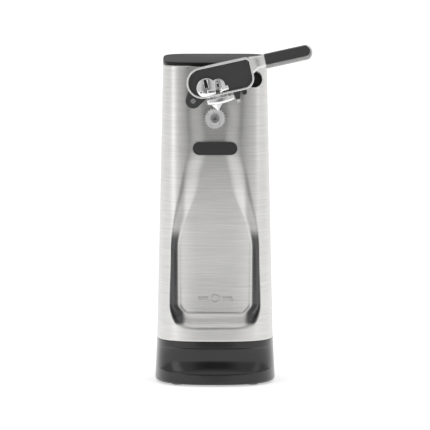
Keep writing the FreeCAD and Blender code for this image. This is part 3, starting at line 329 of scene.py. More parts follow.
class Wardrobe:
    """Every finish's material, made once."""

    def __init__(self) -> None:
        """Build the grain group and all materials."""
        grain = GrainGroup()
        self.made = {surface.finish: surface.material(grain) for surface in SURFACES}

    def dress(self, piece: bpy.types.Object, finish: Finish) -> None:
        """Put one finish on the whole of a piece."""
        piece.data.materials.clear()
        piece.data.materials.append(self.made[finish])

    def settle(self, piece: bpy.types.Object, finish: Finish, body: str, *nodes: str) -> None:
        """Dress a new piece, let it ride on its body and stand for the nodes it replaces."""
        self.dress(piece, finish)
        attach(piece, body)
        if nodes:
            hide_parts(*nodes)
        LOG.info("built %s on %s", piece.name, body)


# ---------------------------------------------------------------- body form

@dataclass(frozen=True)
class BodyForm:
    """The body's level sections: rounded squares that grow towards the foot."""

    top: float
    seam: float
    top_section: tuple[float, float, float] = (38.4 * MM, 37.0 * MM, 5.0)
    seam_section: tuple[float, float, float] = (43.0 * MM, 43.0 * MM, 3.2)
    foot_section: tuple[float, float, float] = (44.6 * MM, 44.5 * MM, 2.5)

    def section(self, height: float) -> tuple[float, float, float]:
        """Half width, half depth and squareness at one height."""
        if height >= self.seam:
            share = (height - self.seam) / (self.top - self.seam)
            low, high = self.seam_section, self.top_section
        else:
            share = height / self.seam
            low, high = self.foot_section, self.seam_section
        return tuple(start + share * (end - start) for start, end in zip(low, high))

    def face(self, across: float, height: float) -> float:
        """How far the outside lies from the middle plane, at a distance across."""
        half_width, half_depth, squareness = self.section(height)
        share = min(1.0, abs(across) / half_width)
        return half_depth * (1 - share ** squareness) ** (1 / squareness)

    def ring(self, height: float, inset: float = 0.0, count: int = 160) -> Row:
        """The whole outline at one height, starting at the left.

        Args:
            height: the outline's height above the surface.
            inset: how far the outline is drawn in.
            count: how many points it has.

        Returns:
            The points, once round.
        """
        half_width, half_depth, squareness = self.section(height)
        points = []
        for step in range(count):
            turn = 2 * math.pi * step / count
            cosine, sine = -math.cos(turn), -math.sin(turn)
            across = (half_width - inset) * math.copysign(abs(cosine) ** (2 / squareness), cosine)
            depth = (half_depth - inset) * math.copysign(abs(sine) ** (2 / squareness), sine)
            points.append(Vector((across, depth, height)))
        return points


@dataclass
class FrontSkin:
    """The steel front: a shell with a bottle-shaped recess, flutes darkened with painted shade, and a ramp at
    its foot.
    """

    form: BodyForm
    low: float
    high: float
    split: float
    wall: float = 1.2 * MM
    neck_half: float = 21.6 * MM
    belly_half: float = 32.9 * MM
    neck_depth: float = 2.1 * MM
    belly_depth: float = 9.3 * MM
    ramp_low: float = 42.5 * MM
    ramp_high: float = 54.5 * MM
    flute: float = 8.0 * MM
    rows: int = 210
    side_steps: int = 44

    def lip(self, height: float) -> float:
        """Half width of the recess at its lip.

        Args:
            height: the height above the surface.

        Returns:
            The half width there, in metres.
        """
        waist = blend(200 * MM, 178 * MM, height) * blend(158 * MM, 174 * MM, height)
        neck = self.neck_half - 1.6 * MM * waist
        half = neck + (self.belly_half - self.neck_half) * blend(184 * MM, 100 * MM, height) ** 0.9
        half += 1.1 * MM * blend(100 * MM, 60 * MM, height)
        corner = 60 * MM
        if height < corner:
            share = min(1.0, (corner - height) / (corner - self.ramp_low + 0.5 * MM))
            half -= 11.0 * MM * (1 - math.sqrt(max(0.0, 1 - share * share)))
        return half

    def depth(self, height: float) -> float:
        """Depth of the recess's floor."""
        if height <= self.ramp_low:
            return 0.0
        if height <= self.ramp_high:
            return self.belly_depth * blend(self.ramp_low, self.ramp_high, height)
        deepening = blend(182 * MM, 58 * MM, height) ** 0.85
        return self.neck_depth + (self.belly_depth - self.neck_depth) * deepening

    def wall_width(self, height: float) -> float:
        """How wide the recess's side wall looks from the front."""
        pointed = self.flute - 1.6 * MM * blend(58 * MM, 100 * MM, height)
        pointed += 4.5 * MM * blend(60 * MM, 52 * MM, height)
        soft = blend(104 * MM, 150 * MM, height)
        return pointed + (14.5 * MM - pointed) * soft

    def flute_painted_shade(self, height: float, across: float, share: float) -> float:
        """How much painted shade the wall gets at one spot: full in the flutes, fading out up the flare.

        Args:
            height: height of the spot.
            across: its distance from the middle plane.
            share: its place in the wall, 0 at the floor and 1 at the lip.

        Returns:
            The strength of the painted shade, from 0 to 1.
        """
        # Painted shade: full in the flutes, a soft painted shadow up the flare.
        flute = blend(124 * MM, 108 * MM, height) * blend(0.02, 0.26, share)
        flare = 0.46 * blend(186 * MM, 138 * MM, height) * blend(0.0, 0.35, share)
        flare *= 0.55 + 0.45 * blend(1.0, 0.6, share)
        foot = blend(44.5 * MM, 47.5 * MM, height) * blend(20.5 * MM, 24.5 * MM, across)
        return max(flute, flare) * foot * blend(1.0, 0.88, share)

    def row(self, height: float) -> tuple[Row, list[float]]:
        """One level row of the shell from its left edge to its right edge.

        Args:
            height: the row's height above the surface.

        Returns:
            The row's points, and the painted shade at each of them.
        """
        lip, deep = self.lip(height), self.depth(height)
        width = self.wall_width(height)
        floor_edge = lip - width
        steep = blend(122 * MM, 110 * MM, height)
        right: list[tuple[float, float, float]] = []
        for step in range(15):
            across = floor_edge * step / 14
            right.append((across, -self.form.face(across, height) + deep, 0.0))
        for step in range(1, 15):
            share = step / 14
            across = floor_edge + width * share
            rise = share * share * (3 - 2 * share)
            sunk = deep * (1 - (rise * (1 - steep) + (0.55 * rise + 0.45 * share ** 0.8) * steep))
            depth = -self.form.face(across, height) + sunk
            right.append((across, depth, self.flute_painted_shade(height, across, share)))
        outside = self.side_points(lip, height)
        right.extend((across, depth, 0.0) for across, depth in outside)
        left = [(-across, depth, mask) for across, depth, mask in reversed(right[1:])]
        both = left + right
        return [Vector((across, depth, height)) for across, depth, _ in both], [mask for _, _, mask in both]

    def side_points(self, start: float, height: float) -> list[Point]:
        """Evenly spaced points of the outside, from the lip round to the shell's rear edge.

        Args:
            start: distance across at which the points start.
            height: the height above the surface.

        Returns:
            The points, as distances across and in depth.
        """
        half_width, half_depth, squareness = self.form.section(height)
        fine = []
        first = math.acos(min(1.0, (start / half_width) ** (squareness / 2)))
        last = -math.asin(min(1.0, (self.split / half_depth) ** (squareness / 2)))
        for step in range(241):
            turn = first + (last - first) * step / 240
            across = half_width * abs(math.cos(turn)) ** (2 / squareness)
            depth = -half_depth * math.copysign(abs(math.sin(turn)) ** (2 / squareness), math.sin(turn))
            fine.append((across, depth))
        lengths = [0.0]
        for before, after in zip(fine, fine[1:]):
            lengths.append(lengths[-1] + math.dist(before, after))
        spaced, index = [], 0
        for step in range(1, self.side_steps + 1):
            goal = lengths[-1] * step / self.side_steps
            while index < len(fine) - 2 and lengths[index + 1] < goal:
                index += 1
            share = (goal - lengths[index]) / max(1e-9, lengths[index + 1] - lengths[index])
            ends = zip(fine[index], fine[index + 1])
            spaced.append(tuple(low + share * (high - low) for low, high in ends))
        return spaced

    def heights(self) -> list[float]:
        """Row heights, closer together over the ramp."""
        listed = [self.low + (self.high - self.low) * step / self.rows for step in range(self.rows + 1)]
        listed += [self.ramp_low + (self.ramp_high - self.ramp_low) * step / 20 for step in range(-4, 25)]
        kept = []
        for height in sorted(listed):
            if not kept or height - kept[-1] > 0.12 * MM:
                kept.append(height)
        return kept

    def build(self, wardrobe: Wardrobe) -> None:
        """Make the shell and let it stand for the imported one.

        Args:
            wardrobe: the finishes that the piece is given.
        """
        build = bmesh.new()
        rows = [self.row(height) for height in self.heights()]
        net = grid_into(build, [points for points, _ in rows], closed=False)
        order = [vertex for line in net for vertex in line]
        painted_shade_values = [mask for _, line in rows for mask in line]
        for index, vertex in enumerate(order):
            vertex.index = index
        piece = mesh_from("front_skin_shell", build)
        if piece.data.polygons[0].normal.x > 0:
            piece.data.flip_normals()
        # The recess walls' painted shade is stored as a point attribute.
        flute = piece.data.attributes.new("flute", "FLOAT", "POINT")
        flute.data.foreach_set("value", painted_shade_values)
        add_thickness(piece, self.wall)
        wardrobe.settle(piece, Finish.SKIN, "housing", "front_skin")
        self.build_mark(wardrobe)

    def build_mark(self, wardrobe: Wardrobe) -> None:
        """Make the raised mark on the recess's floor: a ring between two bars.

        Args:
            wardrobe: the finishes that the piece is given.
        """
        middle = 64.2 * MM
        floor = -self.form.face(0.0, middle) + self.depth(middle)
        tilt = math.atan2(self.depth(60 * MM) - self.depth(68 * MM) + 0.24 * MM, 8 * MM)
        build = bmesh.new()
        spots = [[(sign * (5.2 * MM), -1.6 * MM), (sign * 13.2 * MM, -1.6 * MM),
                  (sign * 12.6 * MM, 1.6 * MM), (sign * 5.2 * MM, 1.6 * MM)] for sign in (-1, 1)]
        for corners in spots:
            low = [build.verts.new((across, 0.3 * MM, height)) for across, height in corners]
            high = [build.verts.new((across * 0.985, -0.9 * MM, height * 0.80)) for across, height in corners]
            build.faces.new(low)
            build.faces.new(high)
            for index in range(4):
                build.faces.new((low[index - 1], low[index], high[index], high[index - 1]))
        rings = []
        for radius, depth in ((3.8, 0.3), (3.5, -0.9), (2.1, -0.9), (1.8, 0.3)):
            rings.append([Vector((across, depth * MM, height))
                          for across, height in arc((0.0, 0.0), radius * MM, 0, 352.5, 47)])
        grid_into(build, rings + rings[:1], closed=True)
        bmesh.ops.remove_doubles(build, verts=build.verts, dist=1e-7)
        turn = Matrix.Translation((0, floor, middle)) @ Matrix.Rotation(-tilt, 4, "X")
        bmesh.ops.transform(build, matrix=turn, verts=build.verts)
        piece = mesh_from("front_mark", build, smooth=False)
        add_bevel(piece, 0.2 * MM, 2)
        wardrobe.settle(piece, Finish.SKIN, "housing")


@dataclass
class Casing:
    """The black parts of the body: lid and base."""

    form: BodyForm
    cap_low: float
    cap_high: float
    base_low: float
    base_high: float
    scoop_low: float = 8.5 * MM
    scoop_high: float = 28.5 * MM
    scoop_depth: float = 4.0 * MM
    scoop_half: float = 44.0 * MM

    def scoop(self, across: float, height: float) -> float:
        """How deep the front scoop is at one spot."""
        share = min(1.0, abs(across) / self.scoop_half)
        low = self.scoop_low + 3.5 * MM * share ** 3
        if share >= 1.0 or not low < height < self.scoop_high:
            return 0.0
        rise = (height - low) / (self.scoop_high - low)
        hollow = math.sin(math.pi * rise) ** 0.62
        return self.scoop_depth * hollow * (1 - share ** 5)

    def build(self, wardrobe: Wardrobe) -> None:
        """Make the lid and the base."""
        self.build_lid(wardrobe)
        self.build_base(wardrobe)

    def build_lid(self, wardrobe: Wardrobe) -> None:
        """Make the flat lid with a rounded rim.

        Args:
            wardrobe: the finishes that the piece is given.
        """
        build = bmesh.new()
        radius = 0.9 * MM
        rows = [self.form.ring(self.cap_low, 3.0 * MM), self.form.ring(self.cap_low, 0.25 * MM),
                self.form.ring(self.cap_low + 0.25 * MM)]
        for step in range(7):
            turn = math.radians(15 * step)
            height = self.cap_high - radius + radius * math.sin(turn)
            rows.append(self.form.ring(height, radius * (1 - math.cos(turn))))
        for inset in (4.0, 12.0, 22.0, 32.0):
            rows.append(self.form.ring(self.cap_high, inset * MM))
        grid_into(build, rows, closed=True, cap=True)
        piece = mesh_from("top_lid", build)
        wardrobe.settle(piece, Finish.SATIN, "housing", "top_cap")

    def build_base(self, wardrobe: Wardrobe) -> None:
        """Make the base: a foot band, the scoop and the upper band.

        Args:
            wardrobe: the finishes that the piece is given.
        """
        rows = []
        count = 112
        edge = 2.2 * MM
        for step in range(6):
            turn = math.radians(18 * step)
            height = self.base_low + edge * (1 - math.cos(turn))
            rows.append(self.form.ring(height, edge * (1 - math.sin(turn)), 240))
        for step in range(1, count + 1):
            height = self.base_low + edge + (self.base_high - self.base_low - edge) * step / count
            ring = self.form.ring(height, 0.0, 240)
            for point in ring:
                if point.y < 0:
                    point.y += self.scoop(point.x, height)
            rows.append(ring)
        rows.append(self.form.ring(self.base_high, 1.5 * MM, 240))
        build = bmesh.new()
        grid_into(build, rows, closed=True)
        piece = mesh_from("base_shell", build)
        add_thickness(piece, 2.2 * MM)
        wardrobe.settle(piece, Finish.BLACK, "housing", "base_housing")


# -------------------------------------------------------------------- lever

@dataclass
class Lever:
    """The hinged lever, drawn flat with its pin at the origin and then turned up."""

    pin: Vector
    angle: float
    back: float
    front: float
    lobe_along: float = 9.4 * MM
    lobe_radius: float = 11.45 * MM
    underside: float = 0.7 * MM
    length: float = 47.7 * MM
    rim: float = 1.3 * MM
    window_depth: float = 2.5 * MM
    handle_start: float = 57.0 * MM
    handle_end: float = 93.5 * MM
    handle_low: float = 12.0 * MM
    handle_high: float = 23.0 * MM
    handle_back: float = 41.5 * MM
    handle_front: float = 53.0 * MM

    def placed(self) -> Matrix:
        """The step from the lever's flat drawing to the frame."""
        to_pin = Matrix.Translation(Vector((self.pin.x, 0.0, self.pin.z)))
        return to_pin @ Matrix.Rotation(-self.angle, 4, "Y")

    def extruded(self, name: str, outline: list[Point], back: float, front: float,
                 bevel: float, segments: int = 3) -> bpy.types.Object:
        """A flat piece of the lever with rounded edges.

        Args:
            name: the piece's name.
            outline: its corners, along and above the pin.
            back: depth of its rear face.
            front: depth of its front face.
            bevel: radius of its edges.
            segments: steps of each rounded edge.

        Returns:
            The new object, in place.
        """
        build = bmesh.new()
        rows = [[Vector((along, -depth, above)) for along, above in outline] for depth in (back, front)]
        grid_into(build, rows, closed=True, cap=True)
        bmesh.ops.transform(build, matrix=self.placed(), verts=build.verts)
        piece = mesh_from(name, build)
        add_bevel(piece, bevel, segments)
        return piece

    def panel(self, inset: float) -> list[Point]:
        """Outline of the panel: a round lobe on the left, rounded corners on the right.

        Args:
            inset: how far the outline is drawn in.

        Returns:
            The outline's points, along and above the pin.
        """
        low = self.underside + inset
        high = self.underside + 2 * self.lobe_radius - inset
        right = self.length - inset
        large, small = 8.5 * MM - inset, max(1.0 * MM, 4.0 * MM - inset)
        middle = (low + high) / 2
        points = arc((self.lobe_along, middle), self.lobe_radius - inset, 90, 270, 30)
        points += arc((right - large, low + large), large, 270, 360, 14)
        points += arc((right - small, high - small), small, 0, 90, 8)
        return points

    def build(self, wardrobe: Wardrobe) -> None:
        """Make the frame, the neck, the handle and its grip."""
        frame_piece = self.build_frame()
        wardrobe.settle(frame_piece, Finish.POLISHED, "lever", "lever_frame")
        neck = self.build_neck()
        wardrobe.settle(neck, Finish.POLISHED, "lever")
        self.build_handle(wardrobe)
        self.build_guide(wardrobe)

    def build_frame(self) -> bpy.types.Object:
        """Make the panel's cup: a rim round a sunk floor."""
        build = bmesh.new()
        outer, inner = self.panel(0.0), self.panel(self.rim)
        crown = self.front - 0.5 * MM
        floor = self.front - self.window_depth
        steps = [(outer, self.back + 0.4 * MM), (outer, crown),
                 (self.panel(0.16 * MM), self.front - 0.14 * MM), (self.panel(0.5 * MM), self.front),
                 (self.panel(self.rim - 0.3 * MM), self.front), (inner, self.front - 0.3 * MM),
                 (inner, floor)]
        rows = [[Vector((along, -self.back, above)) for along, above in self.panel(0.4 * MM)]]
        rows += [[Vector((along, -depth, above)) for along, above in line] for line, depth in steps]
        grid_into(build, rows, closed=True, cap=True)
        bmesh.ops.transform(build, matrix=self.placed(), verts=build.verts)
        return mesh_from("lever_panel", build)

    def build_neck(self) -> bpy.types.Object:
        """Make the hollow-waisted neck between the panel and the handle."""
        build = bmesh.new()
        rows = []
        for step in range(25):
            share = step / 24
            start = self.length - 0.9 * MM
            along = start + (self.handle_start + 1.5 * MM - start) * share
            hollow = math.sin(math.pi * min(1.0, share * 1.05)) if share > 0 else 0.0
            low = self.handle_low + 1.6 * MM - 3.0 * MM * (1 - blend(0.0, 0.5, share)) - 0.2 * MM * hollow
            high = self.handle_high + 0.5 * MM - 0.9 * MM * share - 0.3 * MM * hollow
            front = self.front - 0.3 * MM - 1.1 * MM * hollow
            back = self.back + 0.2 * MM - 2.0 * MM * blend(0.5, 1.0, share)
            middle = Vector((along, -(front + back) / 2, (low + high) / 2))
            half_depth, half_height = (front - back) / 2, (high - low) / 2
            row = []
            for turn_step in range(48):
                turn = 2 * math.pi * turn_step / 48
                cosine, sine = math.cos(turn), math.sin(turn)
                depth = half_depth * math.copysign(abs(cosine) ** 0.4, cosine)
                above = half_height * math.copysign(abs(sine) ** 0.4, sine)
                row.append(middle + Vector((0, depth, above)))
            rows.append(row)
        grid_into(build, rows, closed=True, cap=True)
        bmesh.ops.transform(build, matrix=self.placed(), verts=build.verts)
        return mesh_from("lever_neck", build)

    def bar_outline(self, left: float, right: float, low: float, high: float, radius: float) -> list[Point]:
        """A bar that is square on the left and rounded on the right."""
        points = [(left, high), (left, low)]
        points += arc((right - radius, low + radius), radius, 270, 360, 12)
        points += arc((right - radius, high - radius), radius, 0, 90, 12)
        return points

    def build_handle(self, wardrobe: Wardrobe) -> None:
        """Make the steel-coloured tray and the black grip that lies in it.

        Args:
            wardrobe: the finishes that the piece is given.
        """
        low, high = self.handle_low, self.handle_high
        around = self.bar_outline(self.handle_start, self.handle_end, low, high - 0.4 * MM, 5.2 * MM)
        tray = self.extruded("handle_tray", around, self.handle_back, self.handle_front - 1.2 * MM,
                             0.8 * MM)
        wardrobe.settle(tray, Finish.POLISHED, "lever")
        grip = self.extruded("handle_grip_pad",
                             self.bar_outline(self.handle_start + 1.2 * MM, self.handle_end - 1.5 * MM,
                                              low + 3.3 * MM, high - 0.1 * MM, 3.8 * MM),
                             self.handle_back + 3.0 * MM, self.handle_front - 0.1 * MM, 0.7 * MM)
        wardrobe.settle(grip, Finish.GRIP, "lever", "handle_grip")

    def build_guide(self, wardrobe: Wardrobe) -> None:
        """Make the curved rim guide under the panel.

        Args:
            wardrobe: the finishes that the piece is given.
        """
        build = bmesh.new()
        left, right = 10.1 * MM, 30.4 * MM
        rows = []
        for step in range(29):
            share = step / 28
            along = left + (right - left) * share
            swell = 4 * share * (1 - share)
            top = self.underside - 1.9 * MM
            bottom = self.underside - 5.2 * MM - 1.1 * MM * swell
            crest = self.front - 0.3 * MM - 2.1 * MM * (2 * share - 0.9) ** 2
            front, back = crest, crest - 1.3 * MM
            row = []
            for depth, above in ((back, top), (front - 0.25 * MM, top), (front, top - 0.3 * MM),
                                 (front + 0.25 * MM, (top + bottom) / 2), (front, bottom + 0.3 * MM),
                                 (front - 0.25 * MM, bottom), (back, bottom)):
                row.append(Vector((along, -depth, above)))
            rows.append(row)
        grid_into(build, rows, closed=True, cap=True)
        bmesh.ops.transform(build, matrix=self.placed(), verts=build.verts)
        piece = mesh_from("rim_guide_plate", build)
        wardrobe.settle(piece, Finish.CHROME, "lever")
        back = self.front - 1.1 * MM - 1.4 * MM
        for number, along in enumerate((13.6 * MM, 27.2 * MM)):
            tab = self.extruded("guide_tab_%d" % number,
                                [(along - 1.4 * MM, self.underside + 0.2 * MM),
                                 (along - 1.4 * MM, self.underside - 2.4 * MM),
                                 (along + 1.4 * MM, self.underside - 2.4 * MM),
                                 (along + 1.4 * MM, self.underside + 0.2 * MM)],
                                back, back + 0.9 * MM, 0.15 * MM, 2)
            wardrobe.settle(tab, Finish.CHROME, "lever")
        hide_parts("rim_guide")


# ------------------------------------------------------------------- cutter

@dataclass
class Cutter:
    """The bright cutter parts in the lever's window: two slotted heads, their band and the blade."""

    lever: Lever
    screw_along: float = 11.8 * MM
    screw_above: float = 7.8 * MM
    screw_radius: float = 7.4 * MM
    rivet_along: float = 20.3 * MM
    rivet_above: float = 7.5 * MM
    rivet_radius: float = 5.4 * MM
    band_left: float = 10.8 * MM
    band_right: float = 27.6 * MM
    band_low: float = 2.4 * MM
    band_high: float = 6.6 * MM
    tip_along: float = 16.6 * MM
    tip_above: float = -11.2 * MM
    blade_half: float = 3.9 * MM
    blade_point: float = 4.8 * MM

    def build(self, wardrobe: Wardrobe) -> None:
        """Make every part of the cutter.

        Args:
            wardrobe: the finishes that the piece is given.
        """
        front = self.lever.front
        floor = front - self.lever.window_depth + 0.8 * MM
        self.build_head("cutter_screw_head", (self.screw_along, self.screw_above), self.screw_radius,
                        (floor, front - 0.5 * MM, front + 0.6 * MM), [(-1.2, 1.4, 0.2, 6.6)],
                        (-4.6, -2.0), wardrobe, "cutter_screw")
        self.build_head("blade_rivet_head", (self.rivet_along, self.rivet_above), self.rivet_radius,
                        (floor, front - 1.1 * MM, front - 0.1 * MM), [(-0.7, 0.9, -0.8, 2.0)],
                        (0.2, 3.6), wardrobe, "blade_rivet")
        self.build_band(wardrobe)
        self.build_blade(wardrobe)

    def build_head(self, name: str, centre: Point, radius: float, levels: tuple[float, float, float],
                   slots: list[tuple[float, float, float, float]], dot: Point, wardrobe: Wardrobe,
                   node: str) -> None:
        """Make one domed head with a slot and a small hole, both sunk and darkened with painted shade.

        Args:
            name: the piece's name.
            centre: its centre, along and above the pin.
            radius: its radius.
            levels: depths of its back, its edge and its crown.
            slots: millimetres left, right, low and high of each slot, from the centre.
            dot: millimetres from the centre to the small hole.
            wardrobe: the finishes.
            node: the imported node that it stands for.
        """
        back, edge, crown = levels
        rows, painted_shade_values = [], []
        for share in (1.0, 1.0, 0.985) + tuple(0.96 - 0.03 * step for step in range(32)):
            row = []
            depth = edge + (crown - edge) * (1 - share ** 2.4)
            depth = back if not rows else (edge - 0.2 * MM if len(rows) == 1 else depth)
            for step in range(96):
                turn = 2 * math.pi * step / 96
                across, above = radius * share * math.cos(turn), radius * share * math.sin(turn)
                # cut sinks the slot and the hole and darkens them with painted shade.
                cut = 0.0
                for left, right, low, high in slots:
                    side = min(across / MM - left, right - across / MM, above / MM - low, high - above / MM)
                    cut = max(cut, blend(-0.12, 0.12, side))
                away = math.hypot(across / MM - dot[0], above / MM - dot[1])
                cut = max(cut, blend(0.75, 0.45, away)) if len(rows) > 1 else 0.0
                row.append(Vector((centre[0] + across, -(depth - 0.7 * MM * cut), centre[1] + above)))
                painted_shade_values.append(cut)
            rows.append(row)
        build = bmesh.new()
        grid_into(build, rows, closed=True, cap=True)
        bmesh.ops.transform(build, matrix=self.lever.placed(), verts=build.verts)
        piece = mesh_from(name, build)
        self.store_painted_shade(piece, painted_shade_values)
        wardrobe.settle(piece, Finish.CHROME, "lever", node)

    def store_painted_shade(self, piece: bpy.types.Object, painted_shade_values: list[float]) -> None:
        """Store the painted shade at each point of a piece."""
        slot = piece.data.attributes.new("slot", "FLOAT", "POINT")
        slot.data.foreach_set("value", (painted_shade_values + [0.0] * len(piece.data.vertices))[:len(piece.data.vertices)])

    def build_band(self, wardrobe: Wardrobe) -> None:
        """Make the folded band under the heads, with a slot darkened by painted shade and an ear on its
        right.

        Args:
            wardrobe: the finishes that the piece is given.
        """
        rows, painted_shade_values = [], []
        front = self.lever.front
        for step in range(61):
            share = step / 60
            along = self.band_left + (self.band_right - self.band_left) * share
            ear = blend(0.66, 0.72, share)
            low = self.band_low + 0.8 * MM * ear
            high = self.band_high - 1.4 * MM * blend(0.0, 0.55, share) + 1.5 * MM * ear
            crest = front + 0.9 * MM - 1.9 * MM * (share - 0.18) ** 2
            crest -= 1.0 * MM * (1 - blend(0.0, 0.1, share))
            crest -= 1.3 * MM * blend(0.68, 1.0, share) - 0.5 * MM * ear
            # The middle slot is sunk and darkened with painted shade.
            cut = blend(0.40, 0.42, share) * blend(0.62, 0.60, share)
            middle = (low + high) / 2
            row = []
            for depth, above, dark in ((front - 1.7 * MM, high, 0.0), (crest - 0.5 * MM, high, 0.0),
                                       (crest - 0.12 * MM, high - 0.3 * MM, cut), (crest, middle, cut),
                                       (crest - 0.12 * MM, low + 0.3 * MM, cut), (crest - 0.5 * MM, low, cut),
                                       (front - 1.7 * MM, low, 0.0)):
                row.append(Vector((along, -depth + 0.7 * MM * dark, above)))
                painted_shade_values.append(dark)
            rows.append(row)
        build = bmesh.new()
        grid_into(build, rows, closed=True, cap=True)
        bmesh.ops.transform(build, matrix=self.lever.placed(), verts=build.verts)
        piece = mesh_from("cutter_band", build)
        self.store_painted_shade(piece, painted_shade_values)
        wardrobe.settle(piece, Finish.CHROME, "lever", "cutter_bracket")

    def build_blade(self, wardrobe: Wardrobe) -> None:
        """Make the blade: a flat body and a ridged point.

        Args:
            wardrobe: the finishes that the piece is given.
        """
        box_low, box_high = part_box("cutter_blade")
        back, front = -box_high.y, -box_low.y
        shoulder = self.tip_above + self.blade_point
        outline = [(self.tip_along, self.tip_above), (self.tip_along + self.blade_half, shoulder),
                   (self.tip_along + self.blade_half, 0.4 * MM), (self.tip_along - self.blade_half, 0.4 * MM),
                   (self.tip_along - self.blade_half, shoulder)]
        build = bmesh.new()
        rear = [build.verts.new((along, -back, above)) for along, above in outline]
        face = [build.verts.new((along, -front + 0.9 * MM, above)) for along, above in outline]
        ridge_top = build.verts.new((self.tip_along, -front, 0.4 * MM))
        ridge_low = build.verts.new((self.tip_along, -front, shoulder + 0.6 * MM))
        build.faces.new(rear[::-1])
        for index in range(5):
            build.faces.new((rear[index - 1], rear[index], face[index], face[index - 1]))
        build.faces.new((face[0], face[1], ridge_low))
        build.faces.new((face[1], face[2], ridge_top, ridge_low))
        build.faces.new((face[4], face[0], ridge_low))
        build.faces.new((face[3], face[4], ridge_low, ridge_top))
        build.faces.new((face[2], face[3], ridge_top))
        bmesh.ops.transform(build, matrix=self.lever.placed(), verts=build.verts)
        piece = mesh_from("cutter_point", build, smooth=False)
        wardrobe.settle(piece, Finish.CHROME, "lever", "cutter_blade")


# ----------------------------------------------------- carried-over pieces

CARRIED = {
    Finish.BLACK: ("rear_housing", "switch_bezel", "switch_plunger"),
    Finish.GRIP: ("lever_insert", "lever_carrier"),
    Finish.MATTE: ("base_plate", "switch_body", "magnet_holder"),
    Finish.RUBBER: ("rubber_feet", "can_rest_pad", "lever_stop", "cord_gland"),
    Finish.ZINC: ("housing_screws", "base_screws", "pivot_boss", "pivot_washer", "pivot_clip",
                  "idler_axle_1", "idler_axle_2", "frame_posts", "plate_screws", "motor_spacers",
                  "motor_bolts", "drive_shaft", "rotor_shaft"),
    Finish.CHROME: ("pivot_pin",),
    Finish.BRASS: ("front_bush", "rear_bush", "motor_bearing_front", "motor_bearing_rear", "motor_pinion"),
    Finish.SHEET: ("gear_frame", "gear_plate", "motor_bracket_front", "motor_bracket_rear", "side_brackets"),
    Finish.CORE: ("motor_stator", "rotor_core"),
    Finish.COPPER: ("shading_rings", "motor_coil"),
    Finish.NYLON: ("coil_bobbin", "output_gear", "idler_gear_1", "idler_gear_2"),
    Finish.GROUND: ("feed_wheel", "lid_magnet"),
}


class Mechanism:
    """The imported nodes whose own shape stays: they only get a finish."""

    def __init__(self, nodes: dict[str, bpy.types.Object]) -> None:
        """Keep the frame's nodes."""
        self.nodes = nodes

    def build(self, wardrobe: Wardrobe) -> None:
        """Dress every carried-over node."""
        for finish, names in CARRIED.items():
            for name in names:
                wardrobe.dress(self.nodes[name], finish)
                LOG.info("dressed %s", name)


# ------------------------------------------------------------------- studio

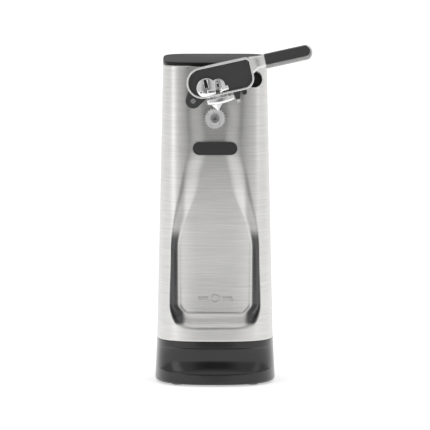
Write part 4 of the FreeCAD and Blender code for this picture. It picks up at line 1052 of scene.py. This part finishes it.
@dataclass
class Studio:
    """Floor, soft light and camera."""

    aim: Vector = field(default_factory=lambda: Vector((0.0, 0.0, 0.1229)))
    frame_width: float = 0.3193
    distance: float = 6.0
    elevation: float = 6.3

    def build(self) -> None:
        """Set up the whole studio."""
        self.build_world()
        self.build_floor()
        self.build_camera()
        self.add_light("key_left", (-1.3, -0.9, 0.5), (0.60, 1.6), 3.6)
        self.add_light("key_right", (1.5, -0.7, 0.5), (0.50, 1.6), 1.6)
        bpy.context.scene.view_settings.view_transform = "Standard"

    def build_world(self) -> None:
        """A pale room that is darker behind the camera."""
        world = bpy.data.worlds.new("soft_room")
        world.use_nodes = True
        nodes, links = world.node_tree.nodes, world.node_tree.links
        place = nodes.new("ShaderNodeTexCoord")
        split = nodes.new("ShaderNodeSeparateXYZ")
        links.new(place.outputs["Generated"], split.inputs[0])
        side = nodes.new("ShaderNodeMath")
        side.operation = "ABSOLUTE"
        links.new(split.outputs["X"], side.inputs[0])
        flanks = self.stepped(nodes, links, side.outputs[0], (0.04, 0.40), (0.10, 0.60))
        ahead = self.stepped(nodes, links, split.outputs["Y"], (-0.20, 0.35), (0.0, 0.48))
        above = self.stepped(nodes, links, split.outputs["Z"], (0.45, 0.88), (0.0, 0.95))
        seen = nodes.new("ShaderNodeLightPath")
        room = flanks
        for part in (ahead, above, seen.outputs["Is Camera Ray"]):
            brighter = nodes.new("ShaderNodeMath")
            brighter.operation = "MAXIMUM"
            links.new(room, brighter.inputs[0])
            links.new(part, brighter.inputs[1])
            room = brighter.outputs[0]
        links.new(room, nodes["Background"].inputs["Strength"])
        nodes["Background"].inputs["Color"].default_value = (1.0, 1.0, 1.0, 1.0)
        bpy.context.scene.world = world

    def stepped(self, nodes: bpy.types.Nodes, links: bpy.types.NodeLinks, value: bpy.types.NodeSocket,
                span: Point, levels: Point) -> bpy.types.NodeSocket:
        """A smooth step of the room's brightness between two directions."""
        ramp = nodes.new("ShaderNodeMapRange")
        ramp.interpolation_type = "SMOOTHSTEP"
        ramp.inputs["From Min"].default_value, ramp.inputs["From Max"].default_value = span
        ramp.inputs["To Min"].default_value, ramp.inputs["To Max"].default_value = levels
        links.new(value, ramp.inputs["Value"])
        return ramp.outputs["Result"]

    def build_floor(self) -> None:
        """A wide pale floor whose front edge lies just before the view."""
        build = bmesh.new()
        rows = [[Vector((across, along, -0.0001)) for across in (-9.0, 9.0)] for along in (-0.60, 0.4, 12.0)]
        grid_into(build, rows, closed=False)
        sheet = mesh_from("studio_sheet", build)
        paper = bpy.data.materials.new("studio_paper")
        paper.use_nodes = True
        shader = paper.node_tree.nodes["Principled BSDF"]
        shader.inputs["Base Color"].default_value = (0.93, 0.93, 0.93, 1.0)
        shader.inputs["Roughness"].default_value = 0.9
        shader.inputs["Emission Color"].default_value = (1.0, 1.0, 1.0, 1.0)
        shader.inputs["Emission Strength"].default_value = 0.50
        sheet.data.materials.append(paper)

    def build_camera(self) -> None:
        """A long lens at the object's front, a little above it."""
        lens = bpy.data.cameras.new("camera")
        lens.sensor_width = 36.0
        lens.lens = lens.sensor_width * self.distance / self.frame_width
        lens.clip_end = 50.0
        camera = bpy.data.objects.new("camera", lens)
        turn = math.radians(self.elevation)
        camera.location = self.aim + self.distance * Vector((0.0, -math.cos(turn), math.sin(turn)))
        camera.rotation_euler = (math.radians(90.0 - self.elevation), 0.0, 0.0)
        bpy.context.scene.collection.objects.link(camera)
        bpy.context.scene.camera = camera

    def add_light(self, name: str, place: tuple[float, float, float], size: Point, power: float) -> None:
        """Add a soft rectangular light that looks at the object.

        Args:
            name: the light's name.
            place: where it stands.
            size: its width and height.
            power: its power in watts.
        """
        lamp = bpy.data.lights.new(name, "AREA")
        lamp.shape = "RECTANGLE"
        lamp.size, lamp.size_y = size
        lamp.energy = power
        holder = bpy.data.objects.new(name, lamp)
        holder.location = place
        holder.rotation_euler = (self.aim - Vector(place)).to_track_quat("-Z", "Y").to_euler()
        bpy.context.scene.collection.objects.link(holder)


def main() -> None:
    """Build the opener and its studio."""
    logging.basicConfig(level=logging.INFO, format="%(message)s")
    wardrobe = Wardrobe()
    skin_low, skin_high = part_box("front_skin")
    base_low, base_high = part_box("base_housing")
    cap_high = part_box("top_cap")[1]
    panel_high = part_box("lever_insert")[1]
    pin_low, pin_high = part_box("pivot_pin")
    carrier_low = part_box("lever_carrier")[0]
    form = BodyForm(top=cap_high.z, seam=33.5 * MM)
    FrontSkin(form, low=skin_low.z, high=skin_high.z, split=skin_high.y).build(wardrobe)
    Casing(form, cap_low=cap_high.z - 2.4 * MM, cap_high=cap_high.z,
           base_low=base_low.z, base_high=base_high.z).build(wardrobe)
    Mechanism(frame["nodes"]).build(wardrobe)
    lever = Lever(pin=(pin_low + pin_high) / 2, angle=math.radians(12.4), back=-carrier_low.y,
                  front=-panel_high.y + 2.5 * MM)
    lever.build(wardrobe)
    Cutter(lever).build(wardrobe)
    Studio().build()


if __name__ == "__main__":
    main()
